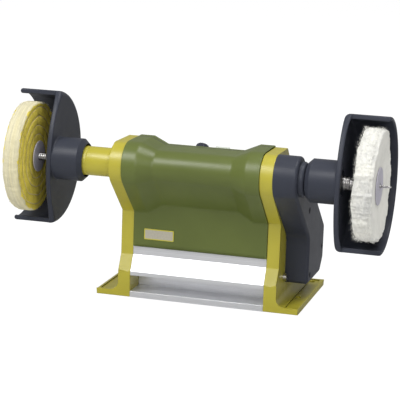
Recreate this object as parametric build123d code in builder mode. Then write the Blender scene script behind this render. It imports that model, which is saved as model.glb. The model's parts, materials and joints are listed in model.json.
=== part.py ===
from build123d import *

import os
from math import asin, atan2, cos, degrees, hypot, radians, sin, sqrt, tan

# Bench polishing lathe with two mops, a belt drive and swivelling guards. Millimetres.
# X runs along the spindle (+X is the belt side), +Y points to the back and +Z up.
# The origin is the centre of the base's footprint, on the bench.

os.makedirs("parts", exist_ok=True)

# Spindle and base
SPINDLE_H = 126.0  # spindle axis above the bench
SPINDLE_LEAN = 14.5  # how far the spindle overhangs the front of the base
BASE_DEPTH = 114.0
FRAME_GAP = 125.0  # between the inner faces of the end frames
FRAME_T = 11.5
HEAD_R = 20.0  # head of an end frame, round the spindle
SLANT = 42.0  # degrees, underside of the head
TOP_FLAT = 36.0  # from the spindle back to the ridge
TOE_H = 24.0  # height of the upright toe of the base
WAIST_IN = 7.5  # the waist stands back from the toe
WAIST_H = 39.0  # height at which the waist starts
FOOT_OUT = 20.4
FOOT_T = 5.4
FOOT_FILLET = 8.0
FOOT_RIM = 3.0
FOOT_POCKET = 0.9
FOOT_POCKET_R = 2.0
BOLT_R = 2.75
BOLT_FRONT_Y = -12.0
BOLT_REAR_Y = 48.0
BOLT_IN = 9.6  # bolt centre to the foot's free edge

# Aluminium base section
SECTION_TOP = 46.5
SECTION_WALL = 3.0
CHANNEL_DEPTH = 26.0
CHANNEL_TOP = 20.5
CHANNEL_LIP = 5.6

# Green housing
HOUSING_WALL = 2.6
HOUSING_PROUD = 1.2  # stands out from the end frames
HOUSING_SEAT = 0.3
SHOULDER_W = 13.0
BLEND_W = 14.0
BARREL_DROP = 6.0  # the barrel is lower than the shoulders
SEAM_BACK = 6.0  # from the ridge forward to the seam
VENT_L = 22.0
VENT_W = 2.6
VENT_PITCH = 7.0
VENT_COUNT = 7
VENT_DOWN = 70.0  # down the slope from the ridge
LABEL_W = 28.0
LABEL_H = 10.0
LABEL_T = 0.6
LABEL_R = 0.8
LABEL_X = -38.0
LABEL_Z = 59.0

# Spindle, bearings and tubes
SHAFT_R = 4.0
SHAFT_END = 137.0  # from the middle of the machine
BEARING_R = 11.0
BEARING_W = 7.0
BALL_R = 1.9
BALL_PITCH_R = 7.5
BALL_COUNT = 7
RACE_LAND = 1.4  # half the gap between the two rings
TUBE_R = 13.0
TUBE_BORE_R = 6.6
TUBE_END = 128.5
TUBE_STEP_R = 13.5  # short step of the left tube against its frame
TUBE_STEP_L = 3.5
TUBE_GROOVE_X = 98.2
TUBE_GROOVE = 0.4
SPIGOT_R = 11.0
SPIGOT_L = 8.0
FELT_R = 10.0
FELT_W = 5.0
CIRCLIP_T = 1.0
CIRCLIP_R = 5.4
CIRCLIP_SINK = 0.4
CIRCLIP_GAP = 2.4
SHAFT_CHAMFER = 0.5
TUBE_EDGE = 0.6

# Guards
GUARD_X = 128.3  # machine side of the guard's wall
GUARD_R = 59.7
GUARD_W = 40.4
GUARD_WALL = 3.0
GUARD_BACK = 3.0  # centre of the back arc behind the spindle
GUARD_LIP = 1.2  # the rim's front edge behind the spindle
GUARD_BEAD = 4.4  # thickness of the rim's front edge
GUARD_BEAD_IN = 3.0  # depth of that bead
GUARD_BULGE = 20.5  # the wall bulges in front of the spindle
LEFT_GUARD_TILT = -5.7  # degrees, as the guards stand
RIGHT_GUARD_TILT = -7.3
GUARD_HOLE_R = 11.0
COLLAR_SPIGOT_R = 16.0  # the collar is pressed into the guard's wall
COLLAR_R = 19.2
COLLAR_END = 101.0
COLLAR_BEVEL = 4.0
COLLAR_MOUTH_R = 14.6
COLLAR_MOUTH = 5.0
COLLAR_RIM = 0.8
TUBE_CLEAR = 0.5  # the bore runs on past the tube's end
GRUB_R = 2.0
GRUB_L = 5.4
GRUB_HEX_R = 1.2
GRUB_HEX_DEPTH = 3.0

# Arbors and mops
ARBOR_ROOT_R = 6.0
ARBOR_ROOT = 130.0
ARBOR_NECK = 138.5
ARBOR_NECK_R = 3.6
ARBOR_TIP = 173.3
ARBOR_TIP_R = 0.7
ARBOR_SHOULDER = 1.0
GRIP_COUNT = 3  # grip grooves round an arbor's root
GRIP_START = 4.0
GRIP_PITCH = 1.6
GRIP_DEPTH = 0.7
MOP_R = 50.0
MOP_T = 15.0
MOP_X = 147.5  # inner face of a mop
MOP_CROWN = 1.5
WASHER_T = 1.0
LEFT_WASHER_R = 14.0
RIGHT_WASHER_R = 16.5

# Belt drive
MOTOR_IN = 40.0  # motor axis in front of the end frames' rear edge
SLOPE_CLEAR = 8.53  # from the motor's can out to the back slope
MOTOR_DROP = 71.0  # motor axis below the spindle
COVER_W = 21.4
COVER_WALL = 2.2
COVER_LEAN = 3.24  # degrees, the cover's edges against the line through both axes
COVER_FRONT = 34.0  # lower front edge in front of the motor axis
COVER_BACK = 31.5  # rear edge behind the motor axis
COVER_LOW = 20.0
COVER_CUT = 12.0  # cut-off corner at the back, below
COVER_KNEE_R = 18.0
COVER_EDGE = 3.0
COVER_TOE_R = 4.0
COVER_CORNER_R = 6.0
COVER_SCREW_SINK = 2.4  # counterbore in the cover's face
COVER_HEAD_H = 1.8
COVER_HEX_DEPTH = 1.2
BOSS_R = 15.6
BOSS_L = 2.8
BOSS_NECK_L = 5.0
BOSS_NECK_WALL = 0.8
SLEEVE_FLANGE_R = 16.0
SLEEVE_FLANGE_T = 2.0
PULLEY_IN = 3.4  # pulley behind the end frame's outer face
PULLEY_W = 10.0
PULLEY_FLANGE = 1.5
SPINDLE_PULLEY_R = 13.5
MOTOR_PULLEY_R = 9.5
BELT_W = 6.0
BELT_T = 1.5
BELT_GAP = 0.2

# Motor
MOTOR_R = 24.0
MOTOR_CAN_L = 60.0
MOTOR_CAN_T = 1.6
MOTOR_CAP_T = 10.0
MOTOR_SHAFT_R = 3.0
MAGNET_T = 3.4
MAGNET_L = 38.0
MAGNET_CUT = 9.0
ARMATURE_R = 18.2
ARMATURE_L = 32.0
ARMATURE_GAP = 3.0  # between the can's end and the commutator
COMMUTATOR_GAP = 1.0
SLOT_COUNT = 12
SLOT_R = 1.6
COIL_R = 15.0
COIL_L = 7.0
COMMUTATOR_R = 8.0
COMMUTATOR_L = 9.0
BRUSH = 4.0
BRUSH_L = 9.0
BUSH_R = 5.5
BUSH_L = 7.0
MOTOR_SPIGOT_R = 7.0
MOTOR_SPIGOT_L = 4.0
CAP_WALL = 3.0
CAP_RIM = 4.0
FAN_R = 17.0
FAN_L = 8.0
FAN_BLADES = 8
FAN_GAP = 2.0
FAN_HUB_R = 6.0
FAN_DISC_T = 1.5
BLADE_T = 1.2
SHAFT_STUB = 1.5
COIL_EDGE = 2.0
HOLDER_WALL = 1.2
HOLDER_GAP = 2.0  # from the commutator
HOLDER_SAG = 0.6  # the can's curve across a holder
MOTOR_SCREW_R = 1.6
MOTOR_SCREW_HEAD_R = 2.9
MOTOR_SCREW_HEAD_H = 2.0
MOTOR_SCREW_GRIP = 6.0
MOTOR_SCREW_PITCH = 15.0  # from the motor axis

# Controls on the back slope
KNOB_X = -6.8
KNOB_DOWN = 9.5  # down the slope from the ridge
KNOB_R = 6.1
KNOB_H = 6.7
KNOB_RIBS = 18
KNOB_RIB_R = 0.45
DIAL_R = 11.0
DIAL_T = 0.8
POT_R = 8.0
POT_L = 9.0
POT_BUSH_R = 4.2
POT_SHAFT_R = 3.0
POT_FLOOR = 1.5
KNOB_TOP = 2.0
KNOB_GAP = 0.5
SWITCH_X = 13.7
SWITCH_DOWN = 14.7
SWITCH_W = 10.2
SWITCH_L = 21.0
BEZEL = 1.2
BEZEL_T = 3.4
RIDGE_GAP = 2.0  # the dial plate stops short of the ridge
SWITCH_D = 11.0
ROCKER_W = 6.6
ROCKER_HALF = 7.8
ROCKER_TILT = 8.0  # degrees each side of level
ROCKER_RISE = 4.2
ROCKER_DIP = 3.2
ROCKER_BELLY = 5.0
ROCKER_GAP = 0.4
TRUNNION_R = 1.2  # pivot pins of the rocker
TRUNNION_L = 1.2
SWITCH_HOLLOW = 8.0
BOARD_W = 64.0
BOARD_L = 44.0
BOARD_T = 1.6
BOARD_DROP = 15.5
BOARD_DOWN = 26.0  # board's middle, down the slope from the ridge
BLOCK_W = 11.0
BLOCK_L = 9.0
BLOCK_H = 7.0
BLOCK_PITCH = 13.0
POST_R = 2.6
POST_IN = 4.0
GLAND_R = 4.6
GLAND_BORE_R = 3.2
GLAND_FLANGE_R = 6.2
GLAND_X = -44.0
GLAND_OUT = 3.0
GLAND_IN = 6.6
GLAND_UP = 6.7  # above the housing's lower edge

# Fasteners and fits
SCREW_R = 1.9
SCREW_HEAD_R = 3.3
SCREW_HEAD_H = 3.2
SCREW_GRIP = 12.0
CHANNEL_BOSS_R = 3.7
BOSS_BITE = 0.6  # how far a screw boss runs into its wall
COVER_SCREW_R = 1.5
COVER_SCREW_HEAD_R = 2.8
COVER_BOSS_R = 3.8
COVER_BOSS_IN = 8.0
SEAT = 0.03  # between pieces fixed to each other
RUN = 0.06  # radial clearance of a running fit
HEX_R = 1.5
HEX_DEPTH = 1.9

# Places that follow from the sizes
FRAME_IN = FRAME_GAP / 2
FRAME_OUT = FRAME_IN + FRAME_T
FOOT_END = FRAME_OUT + FOOT_OUT
BASE_FRONT = -BASE_DEPTH / 2
BASE_REAR = BASE_DEPTH / 2
WAIST_FRONT = BASE_FRONT + WAIST_IN
WAIST_REAR = BASE_REAR - WAIST_IN
SPINDLE_Y = BASE_FRONT - SPINDLE_LEAN
RIDGE_Y = SPINDLE_Y + TOP_FLAT
MOTOR_Y = WAIST_REAR - MOTOR_IN
MOTOR_H = SPINDLE_H - MOTOR_DROP
MOTOR_BACK = MOTOR_Y - SPINDLE_Y
ridge_drop = SPINDLE_H + HEAD_R - MOTOR_H
ridge_reach = hypot(MOTOR_Y - RIDGE_Y, ridge_drop)
BACK_SLOPE = degrees(  # the back slope passes the motor at a fixed distance
    atan2(ridge_drop, MOTOR_Y - RIDGE_Y) - asin((MOTOR_R + SLOPE_CLEAR) / ridge_reach)
)
COVER_SLANT = degrees(atan2(MOTOR_DROP, MOTOR_BACK)) - COVER_LEAN  # both edges of the belt run
COVER_X = FRAME_OUT + COVER_W
CHANNEL_BACK = BASE_FRONT + CHANNEL_DEPTH
HOUSING_LOW = SECTION_TOP + HOUSING_SEAT
BARREL_IN = FRAME_IN - SHOULDER_W - BLEND_W
PULLEY_X = FRAME_OUT + PULLEY_IN

SPINDLE_AXIS = Axis((0, SPINDLE_Y, SPINDLE_H), (1, 0, 0))
SPINDLE_SIDE = Plane(origin=(0, SPINDLE_Y, SPINDLE_H), x_dir=(1, 0, 0), z_dir=(0, -1, 0))
MOTOR_AXIS = Axis((0, MOTOR_Y, MOTOR_H), (1, 0, 0))
MOTOR_SIDE = Plane(origin=(0, MOTOR_Y, MOTOR_H), x_dir=(1, 0, 0), z_dir=(0, -1, 0))


def spindle_plane(x, tilt=0.0):
    """Plane across the spindle at x: local x points back, local y up, both turned by tilt degrees."""
    turn = radians(tilt)
    return Plane(origin=(x, SPINDLE_Y, SPINDLE_H), x_dir=(0, cos(turn), sin(turn)), z_dir=(1, 0, 0))


def motor_plane(x):
    """Plane across the motor shaft at x."""
    return Plane(origin=(x, MOTOR_Y, MOTOR_H), x_dir=(0, 1, 0), z_dir=(1, 0, 0))


def head_outline(radius, front, rear, low):
    """Side outline of the head: arc round the spindle, slanted underside, flat top, sloped back."""
    lean = radians(SLANT)
    fall = radians(BACK_SLOPE)
    under = (SPINDLE_Y - radius * sin(lean), SPINDLE_H - radius * cos(lean))
    knee = (front, under[1] - (front - under[0]) * tan(lean))
    top = SPINDLE_H + radius
    ridge = (RIDGE_Y + (radius - HEAD_R) * tan(fall / 2), top)
    shoulder = (rear, top - (rear - ridge[0]) * tan(fall))
    with BuildLine() as outline:
        Polyline((front, low), knee, under)
        ThreePointArc(under, (SPINDLE_Y - radius, SPINDLE_H), (SPINDLE_Y, top))
        Polyline((SPINDLE_Y, top), ridge, shoulder, (rear, low), (front, low))
    return outline.line


def housing_section(x, step, inset):
    """Housing cut at x: step lowers the barrel, inset is the depth below the outer skin."""
    radius = HEAD_R + HOUSING_PROUD - step - inset
    front = WAIST_FRONT - HOUSING_PROUD + inset
    rear = WAIST_REAR + HOUSING_PROUD - inset
    with BuildSketch(Plane.YZ.offset(x)) as section:
        add(head_outline(radius, front, rear, HOUSING_LOW))
        make_face()
    return section.sketch


def base_points(inset):
    """Front half of the base section's outline, from the bench up to its top edge."""
    return [
        (BASE_FRONT + inset, inset),
        (BASE_FRONT + inset, TOE_H),
        (WAIST_FRONT + inset, WAIST_H),
        (WAIST_FRONT + inset, SECTION_TOP),
    ]


def section_screws():
    """Places (y, z) of the screws that tie the end frames to the base section."""
    bite = CHANNEL_BOSS_R - BOSS_BITE
    slant_wall = SECTION_WALL * hypot(WAIST_IN, WAIST_H - TOE_H) / (WAIST_H - TOE_H)
    return [
        (CHANNEL_BACK + SECTION_WALL / 2, CHANNEL_TOP + SECTION_WALL + bite),
        ((BASE_REAR + WAIST_REAR) / 2 - slant_wall - bite, (TOE_H + WAIST_H) / 2),
        (BASE_REAR - SECTION_WALL - bite, TOE_H - 2 * bite),
    ]


def cover_outline(inset):
    """Belt cover's side outline: a straight belt run that widens to the motor end."""
    radius = HEAD_R - inset
    lean = radians(COVER_SLANT)
    front = MOTOR_Y - COVER_FRONT + inset
    rear = MOTOR_Y + COVER_BACK - inset
    low = COVER_LOW + inset
    under = (SPINDLE_Y - radius * sin(lean), SPINDLE_H - radius * cos(lean))
    over = (SPINDLE_Y + radius * sin(lean), SPINDLE_H + radius * cos(lean))
    knee = (front, under[1] - (front - under[0]) * tan(lean))
    shoulder = (rear, over[1] - (rear - over[0]) * tan(lean))
    cut = COVER_CUT - inset * (2 - sqrt(2))
    with BuildSketch() as outline:
        with BuildLine():
            Polyline(under, knee, (front, low), (rear - cut, low), (rear, low + cut), shoulder, over)
            ThreePointArc(over, (SPINDLE_Y - radius * cos(lean), SPINDLE_H + radius * sin(lean)), under)
        make_face()
        rounded = (
            (knee, COVER_KNEE_R), ((front, low), COVER_TOE_R - inset), ((rear - cut, low), COVER_CORNER_R),
            ((rear, low + cut), COVER_CORNER_R), (shoulder, COVER_CORNER_R),
        )
        for corner, radius in rounded:
            fillet(outline.vertices().sort_by_distance((corner[0], corner[1], 0))[0], radius)
    return outline.sketch


def guard_outline(radius, lip):
    """Closed D outline: arc at the back, straight stretches to the lip, straight front."""
    with BuildLine() as outline:
        Polyline((GUARD_BACK, -radius), (lip, -radius), (lip, radius), (GUARD_BACK, radius))
        ThreePointArc((GUARD_BACK, radius), (GUARD_BACK + radius, 0), (GUARD_BACK, -radius))
    return outline.line


def cone_radius(x):
    """Radius of the tapered arbor at the distance x from the middle of the machine."""
    share = (x - ARBOR_NECK) / (ARBOR_TIP - ARBOR_NECK)
    return ARBOR_NECK_R + (ARBOR_TIP_R - ARBOR_NECK_R) * share


def ring_points(x0, x1, inner, outer):
    """Rectangle (x, radius) of a plain ring."""
    return [(x0, inner), (x1, inner), (x1, outer), (x0, outer)]


# End frames -----------------------------------------------------------------------------------
for name, side in (("left_end_frame", -1), ("right_end_frame", 1)):
    with BuildPart() as frame:
        with BuildSketch(Plane.YZ.offset(side * FRAME_IN)):
            with BuildLine():
                add(head_outline(HEAD_R, WAIST_FRONT, WAIST_REAR, WAIST_H))
            make_face()
            with BuildLine():
                Polyline(
                    (BASE_FRONT, 0), (BASE_FRONT, TOE_H), (WAIST_FRONT, WAIST_H),
                    (WAIST_REAR, WAIST_H), (BASE_REAR, TOE_H), (BASE_REAR, 0), close=True,
                )
            make_face()
        extrude(amount=side * FRAME_T)
        with BuildSketch(Plane.XY):
            with Locations((side * (FRAME_OUT + FOOT_OUT / 2), 0)):
                Rectangle(FOOT_OUT, BASE_DEPTH)
        extrude(amount=FOOT_T)
        root_edges = frame.edges().filter_by(Axis.Y).filter_by_position(Axis.Z, FOOT_T - 0.1, FOOT_T + 0.1)
        fillet(root_edges.sort_by(Axis.X)[0 if side > 0 else -1], FOOT_FILLET)
        pocket_w = FOOT_OUT - FOOT_FILLET - FOOT_RIM
        with BuildSketch(Plane.XY.offset(FOOT_T)):
            with Locations((side * (FOOT_END - FOOT_RIM - pocket_w / 2), 0)):
                RectangleRounded(pocket_w, BASE_DEPTH - 2 * FOOT_RIM, FOOT_POCKET_R)
        extrude(amount=-FOOT_POCKET, mode=Mode.SUBTRACT)
        with BuildSketch(Plane.XY):
            with Locations(*[(side * (FOOT_END - BOLT_IN), y) for y in (BOLT_FRONT_Y, BOLT_REAR_Y)]):
                Circle(BOLT_R)
        extrude(amount=FOOT_T, mode=Mode.SUBTRACT)
        with BuildSketch(Plane.YZ.offset(side * FRAME_IN)):
            with Locations(*section_screws()):
                Circle(SCREW_R + 2 * RUN)
        extrude(amount=side * FRAME_T, mode=Mode.SUBTRACT)
        if side < 0:
            with BuildSketch(spindle_plane(-FRAME_OUT)):
                Circle(SPIGOT_R + SEAT)
            extrude(amount=SPIGOT_L, mode=Mode.SUBTRACT)
            with BuildSketch(spindle_plane(-FRAME_OUT)):
                Circle(TUBE_BORE_R)
            extrude(amount=FRAME_T, mode=Mode.SUBTRACT)
        else:
            with BuildSketch(spindle_plane(FRAME_IN)):
                Circle(BEARING_R + SEAT)
            extrude(amount=BEARING_W, mode=Mode.SUBTRACT)
            with BuildSketch(spindle_plane(FRAME_IN)):
                Circle(TUBE_BORE_R)
            extrude(amount=FRAME_T, mode=Mode.SUBTRACT)
            with BuildSketch(motor_plane(FRAME_IN)):
                Circle(MOTOR_SPIGOT_R)
                with Locations((0, MOTOR_SCREW_PITCH), (0, -MOTOR_SCREW_PITCH)):
                    Circle(MOTOR_SCREW_R + 2 * RUN)
            extrude(amount=FRAME_T, mode=Mode.SUBTRACT)
    frame.part.label = name
    export_step(frame.part, f"parts/{name}.step")

# Aluminium base section -----------------------------------------------------------------------
with BuildPart() as base_section:
    with BuildSketch(Plane.YZ.offset(-FRAME_IN)):
        with BuildLine():
            front_points = base_points(0)
            Polyline(*front_points, *[(-y, z) for y, z in reversed(front_points)], close=True)
        make_face()
        with BuildLine():
            hollow = base_points(SECTION_WALL)
            hollow[-1] = (hollow[-1][0], SECTION_TOP + 1)
            Polyline(*hollow, *[(-y, z) for y, z in reversed(hollow)], close=True)
        make_face(mode=Mode.SUBTRACT)
        channel_h = CHANNEL_TOP - CHANNEL_LIP
        with Locations((BASE_FRONT + (CHANNEL_DEPTH + SECTION_WALL) / 2, CHANNEL_LIP + channel_h / 2)):
            Rectangle(CHANNEL_DEPTH + SECTION_WALL, channel_h + 2 * SECTION_WALL)
        with Locations((BASE_FRONT + CHANNEL_DEPTH / 2, CHANNEL_LIP + channel_h / 2)):
            Rectangle(CHANNEL_DEPTH, channel_h, mode=Mode.SUBTRACT)
        with Locations(*section_screws()):
            Circle(CHANNEL_BOSS_R)
        with Locations(*section_screws()):
            Circle(SCREW_R + SEAT, mode=Mode.SUBTRACT)
    extrude(amount=FRAME_GAP)
base_section.part.label = "base_section"
export_step(base_section.part, "parts/base_section.step")

with BuildPart() as frame_screws:
    for side in (-1, 1):
        with BuildSketch(Plane.YZ.offset(side * FRAME_OUT)):
            with Locations(*section_screws()):
                Circle(SCREW_HEAD_R)
        extrude(amount=side * SCREW_HEAD_H)
        with BuildSketch(Plane.YZ.offset(side * (FRAME_OUT + SCREW_HEAD_H))):
            with Locations(*section_screws()):
                RegularPolygon(HEX_R, 6)
        extrude(amount=-side * HEX_DEPTH, mode=Mode.SUBTRACT)
        with BuildSketch(Plane.YZ.offset(side * FRAME_OUT)):
            with Locations(*section_screws()):
                Circle(SCREW_R)
        extrude(amount=-side * (FRAME_T + SCREW_GRIP))
frame_screws.part.label = "frame_screws"
export_step(frame_screws.part, "parts/frame_screws.step")

# Green housing --------------------------------------------------------------------------------
SLOPE_TOP = SPINDLE_H + HEAD_R + HOUSING_PROUD - BARREL_DROP
SLOPE_RIDGE = RIDGE_Y + (HOUSING_PROUD - BARREL_DROP) * tan(radians(BACK_SLOPE / 2))
SLOPE_NORMAL = (0, sin(radians(BACK_SLOPE)), cos(radians(BACK_SLOPE)))


def slope_plane(x, down, height):
    """Plane on the back slope: local x is X, local y runs down the slope, z outwards."""
    slope = Plane(origin=(0, SLOPE_RIDGE, SLOPE_TOP), x_dir=(1, 0, 0), z_dir=SLOPE_NORMAL)
    place = slope.from_local_coords(Vector(x, down, height))
    return Plane(origin=place, x_dir=(1, 0, 0), z_dir=SLOPE_NORMAL)


post_places = [
    (side * (BOARD_W / 2 - POST_IN), end * (BOARD_L / 2 - POST_IN)) for side in (-1, 1) for end in (-1, 1)
]
board_plane = slope_plane(0, BOARD_DOWN, -BOARD_DROP)

with BuildPart() as housing_shell:
    for inset, mode in ((0, Mode.ADD), (HOUSING_WALL, Mode.SUBTRACT)):
        extrude(housing_section(-BARREL_IN, BARREL_DROP, inset), amount=2 * BARREL_IN, mode=mode)
        for side in (-1, 1):
            shoulder_x = side * (FRAME_IN - SHOULDER_W)
            loft(
                [
                    housing_section(shoulder_x, 0, inset),
                    housing_section(side * BARREL_IN, BARREL_DROP, inset),
                ],
                ruled=True, mode=mode,
            )
            extrude(housing_section(shoulder_x, 0, inset), amount=side * SHOULDER_W, mode=mode)

with BuildPart() as front_housing:
    add(housing_shell.part)
    split(bisect_by=Plane.XZ.offset(SEAM_BACK - RIDGE_Y), keep=Keep.TOP)
front_housing.part.label = "front_housing"
export_step(front_housing.part, "parts/front_housing.step")

with BuildPart() as rear_housing:
    add(housing_shell.part)
    split(bisect_by=Plane.XZ.offset(SEAM_BACK - RIDGE_Y), keep=Keep.BOTTOM)
    with BuildSketch(slope_plane(KNOB_X, KNOB_DOWN, 0)):
        Circle(POT_BUSH_R + SEAT)
    extrude(amount=-2 * HOUSING_WALL, mode=Mode.SUBTRACT)
    with BuildSketch(slope_plane(SWITCH_X, SWITCH_DOWN, 0)):
        Rectangle(SWITCH_W + 2 * SEAT, SWITCH_L + 2 * SEAT)
    extrude(amount=-2 * HOUSING_WALL, mode=Mode.SUBTRACT)
    with BuildSketch(slope_plane(0, VENT_DOWN, 0)):
        with GridLocations(VENT_PITCH, 1, VENT_COUNT, 1):
            SlotOverall(VENT_L, VENT_W, rotation=90)
    extrude(amount=-2 * HOUSING_WALL, both=True, mode=Mode.SUBTRACT)
    with BuildSketch(Plane.XZ.offset(-WAIST_REAR + 2 * HOUSING_WALL)):
        with Locations((GLAND_X, HOUSING_LOW + GLAND_UP)):
            Circle(GLAND_R + SEAT)
    extrude(amount=-4 * HOUSING_WALL, mode=Mode.SUBTRACT)
rear_housing.part.label = "rear_housing"
export_step(rear_housing.part, "parts/rear_housing.step")

with BuildPart() as board_spacers:
    with BuildSketch(slope_plane(0, BOARD_DOWN, SEAT - BOARD_DROP)):
        with Locations(*post_places):
            Circle(POST_R)
    extrude(amount=BOARD_DROP - HOUSING_WALL - 2 * SEAT)
board_spacers.part.label = "board_spacers"
export_step(board_spacers.part, "parts/board_spacers.step")

with BuildPart() as blank_label:
    with BuildSketch(Plane.XZ.offset(-(WAIST_FRONT - HOUSING_PROUD))):
        with Locations((LABEL_X, LABEL_Z)):
            RectangleRounded(LABEL_W, LABEL_H, LABEL_R)
    extrude(amount=LABEL_T)
blank_label.part.label = "blank_label"
export_step(blank_label.part, "parts/blank_label.step")

# Spindle and its bearings -----------------------------------------------------------------------
left_bearing_x = -TUBE_END + FELT_W
right_bearing_x = FRAME_IN
bearing_starts = (left_bearing_x, right_bearing_x)

with BuildSketch(SPINDLE_SIDE) as ball_tracks:
    with Locations(*[(x + BEARING_W / 2, BALL_PITCH_R) for x in bearing_starts]):
        Circle(BALL_R + RUN)

with BuildPart() as bearing_outer_rings:
    with BuildSketch(SPINDLE_SIDE):
        for x in bearing_starts:
            Polygon(*ring_points(x, x + BEARING_W, BALL_PITCH_R + RACE_LAND, BEARING_R))
    revolve(axis=SPINDLE_AXIS)
    revolve(ball_tracks.sketch, axis=SPINDLE_AXIS, mode=Mode.SUBTRACT)
bearing_outer_rings.part.label = "bearing_outer_rings"
export_step(bearing_outer_rings.part, "parts/bearing_outer_rings.step")

with BuildPart() as bearing_inner_rings:
    with BuildSketch(SPINDLE_SIDE):
        for x in bearing_starts:
            Polygon(*ring_points(x, x + BEARING_W, SHAFT_R + SEAT, BALL_PITCH_R - RACE_LAND))
    revolve(axis=SPINDLE_AXIS)
    revolve(ball_tracks.sketch, axis=SPINDLE_AXIS, mode=Mode.SUBTRACT)
bearing_inner_rings.part.label = "bearing_inner_rings"
export_step(bearing_inner_rings.part, "parts/bearing_inner_rings.step")

with BuildPart() as bearing_balls:
    for x in bearing_starts:
        with Locations(spindle_plane(x + BEARING_W / 2)):
            with PolarLocations(BALL_PITCH_R, BALL_COUNT):
                Sphere(BALL_R)
bearing_balls.part.label = "bearing_balls"
export_step(bearing_balls.part, "parts/bearing_balls.step")

with BuildPart() as spindle_shaft:
    with BuildSketch(SPINDLE_SIDE):
        Polygon(*ring_points(-SHAFT_END, SHAFT_END, 0, SHAFT_R))
    revolve(axis=SPINDLE_AXIS)
    chamfer(spindle_shaft.edges().filter_by(GeomType.CIRCLE), SHAFT_CHAMFER)
    with BuildSketch(SPINDLE_SIDE):
        for x in bearing_starts:
            start = x + BEARING_W + SEAT
            Polygon(*ring_points(start, start + CIRCLIP_T + 2 * SEAT, SHAFT_R - CIRCLIP_SINK, SHAFT_R + 1))
    revolve(axis=SPINDLE_AXIS, mode=Mode.SUBTRACT)
spindle_shaft.part.label = "spindle_shaft"
export_step(spindle_shaft.part, "parts/spindle_shaft.step")

with BuildPart() as shaft_circlips:
    with BuildSketch(SPINDLE_SIDE):
        for x in bearing_starts:
            start = x + BEARING_W + 2 * SEAT
            Polygon(*ring_points(start, start + CIRCLIP_T, SHAFT_R - CIRCLIP_SINK + SEAT, CIRCLIP_R))
    revolve(axis=SPINDLE_AXIS)
    with BuildSketch(spindle_plane(0)):
        with Locations((0, CIRCLIP_R)):
            Rectangle(CIRCLIP_GAP, CIRCLIP_R)
    extrude(amount=2 * FRAME_OUT, both=True, mode=Mode.SUBTRACT)
shaft_circlips.part.label = "shaft_circlips"
export_step(shaft_circlips.part, "parts/shaft_circlips.step")

# Tubes that carry the guards --------------------------------------------------------------------
with BuildPart() as left_spindle_tube:
    with BuildSketch(SPINDLE_SIDE):
        Polygon(
            (-FRAME_OUT + SPIGOT_L - SEAT, TUBE_BORE_R), (-FRAME_OUT + SPIGOT_L - SEAT, SPIGOT_R),
            (-FRAME_OUT - SEAT, SPIGOT_R), (-FRAME_OUT - SEAT, TUBE_STEP_R),
            (-FRAME_OUT - TUBE_STEP_L, TUBE_STEP_R), (-FRAME_OUT - TUBE_STEP_L, TUBE_R),
            (-TUBE_GROOVE_X + TUBE_GROOVE, TUBE_R), (-TUBE_GROOVE_X, TUBE_R - TUBE_GROOVE),
            (-TUBE_GROOVE_X - TUBE_GROOVE, TUBE_R), (-TUBE_END, TUBE_R),
            (-TUBE_END, BEARING_R + SEAT), (-TUBE_END + FELT_W + BEARING_W, BEARING_R + SEAT),
            (-TUBE_END + FELT_W + BEARING_W, TUBE_BORE_R),
        )
    revolve(axis=SPINDLE_AXIS)
    fillet(left_spindle_tube.edges().filter_by(GeomType.CIRCLE).sort_by(Axis.X)[0:2], TUBE_EDGE)
left_spindle_tube.part.label = "left_spindle_tube"
export_step(left_spindle_tube.part, "parts/left_spindle_tube.step")

flange_x = COVER_X - COVER_WALL
with BuildPart() as right_spindle_sleeve:
    with BuildSketch(SPINDLE_SIDE):
        Polygon(
            (flange_x - SLEEVE_FLANGE_T - SEAT, TUBE_BORE_R),
            (flange_x - SLEEVE_FLANGE_T - SEAT, SLEEVE_FLANGE_R),
            (flange_x - SEAT, SLEEVE_FLANGE_R), (flange_x - SEAT, TUBE_R), (TUBE_END, TUBE_R),
            (TUBE_END, FELT_R + SEAT), (TUBE_END - FELT_W, FELT_R + SEAT),
            (TUBE_END - FELT_W, TUBE_BORE_R),
        )
    revolve(axis=SPINDLE_AXIS)
right_spindle_sleeve.part.label = "right_spindle_sleeve"
export_step(right_spindle_sleeve.part, "parts/right_spindle_sleeve.step")

with BuildPart() as felt_dust_rings:
    with BuildSketch(SPINDLE_SIDE):
        Polygon(*ring_points(-TUBE_END, left_bearing_x - SEAT, SHAFT_R + RUN, BEARING_R))
        Polygon(*ring_points(TUBE_END - FELT_W + SEAT, TUBE_END, SHAFT_R + RUN, FELT_R))
    revolve(axis=SPINDLE_AXIS)
felt_dust_rings.part.label = "felt_dust_rings"
export_step(felt_dust_rings.part, "parts/felt_dust_rings.step")

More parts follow.
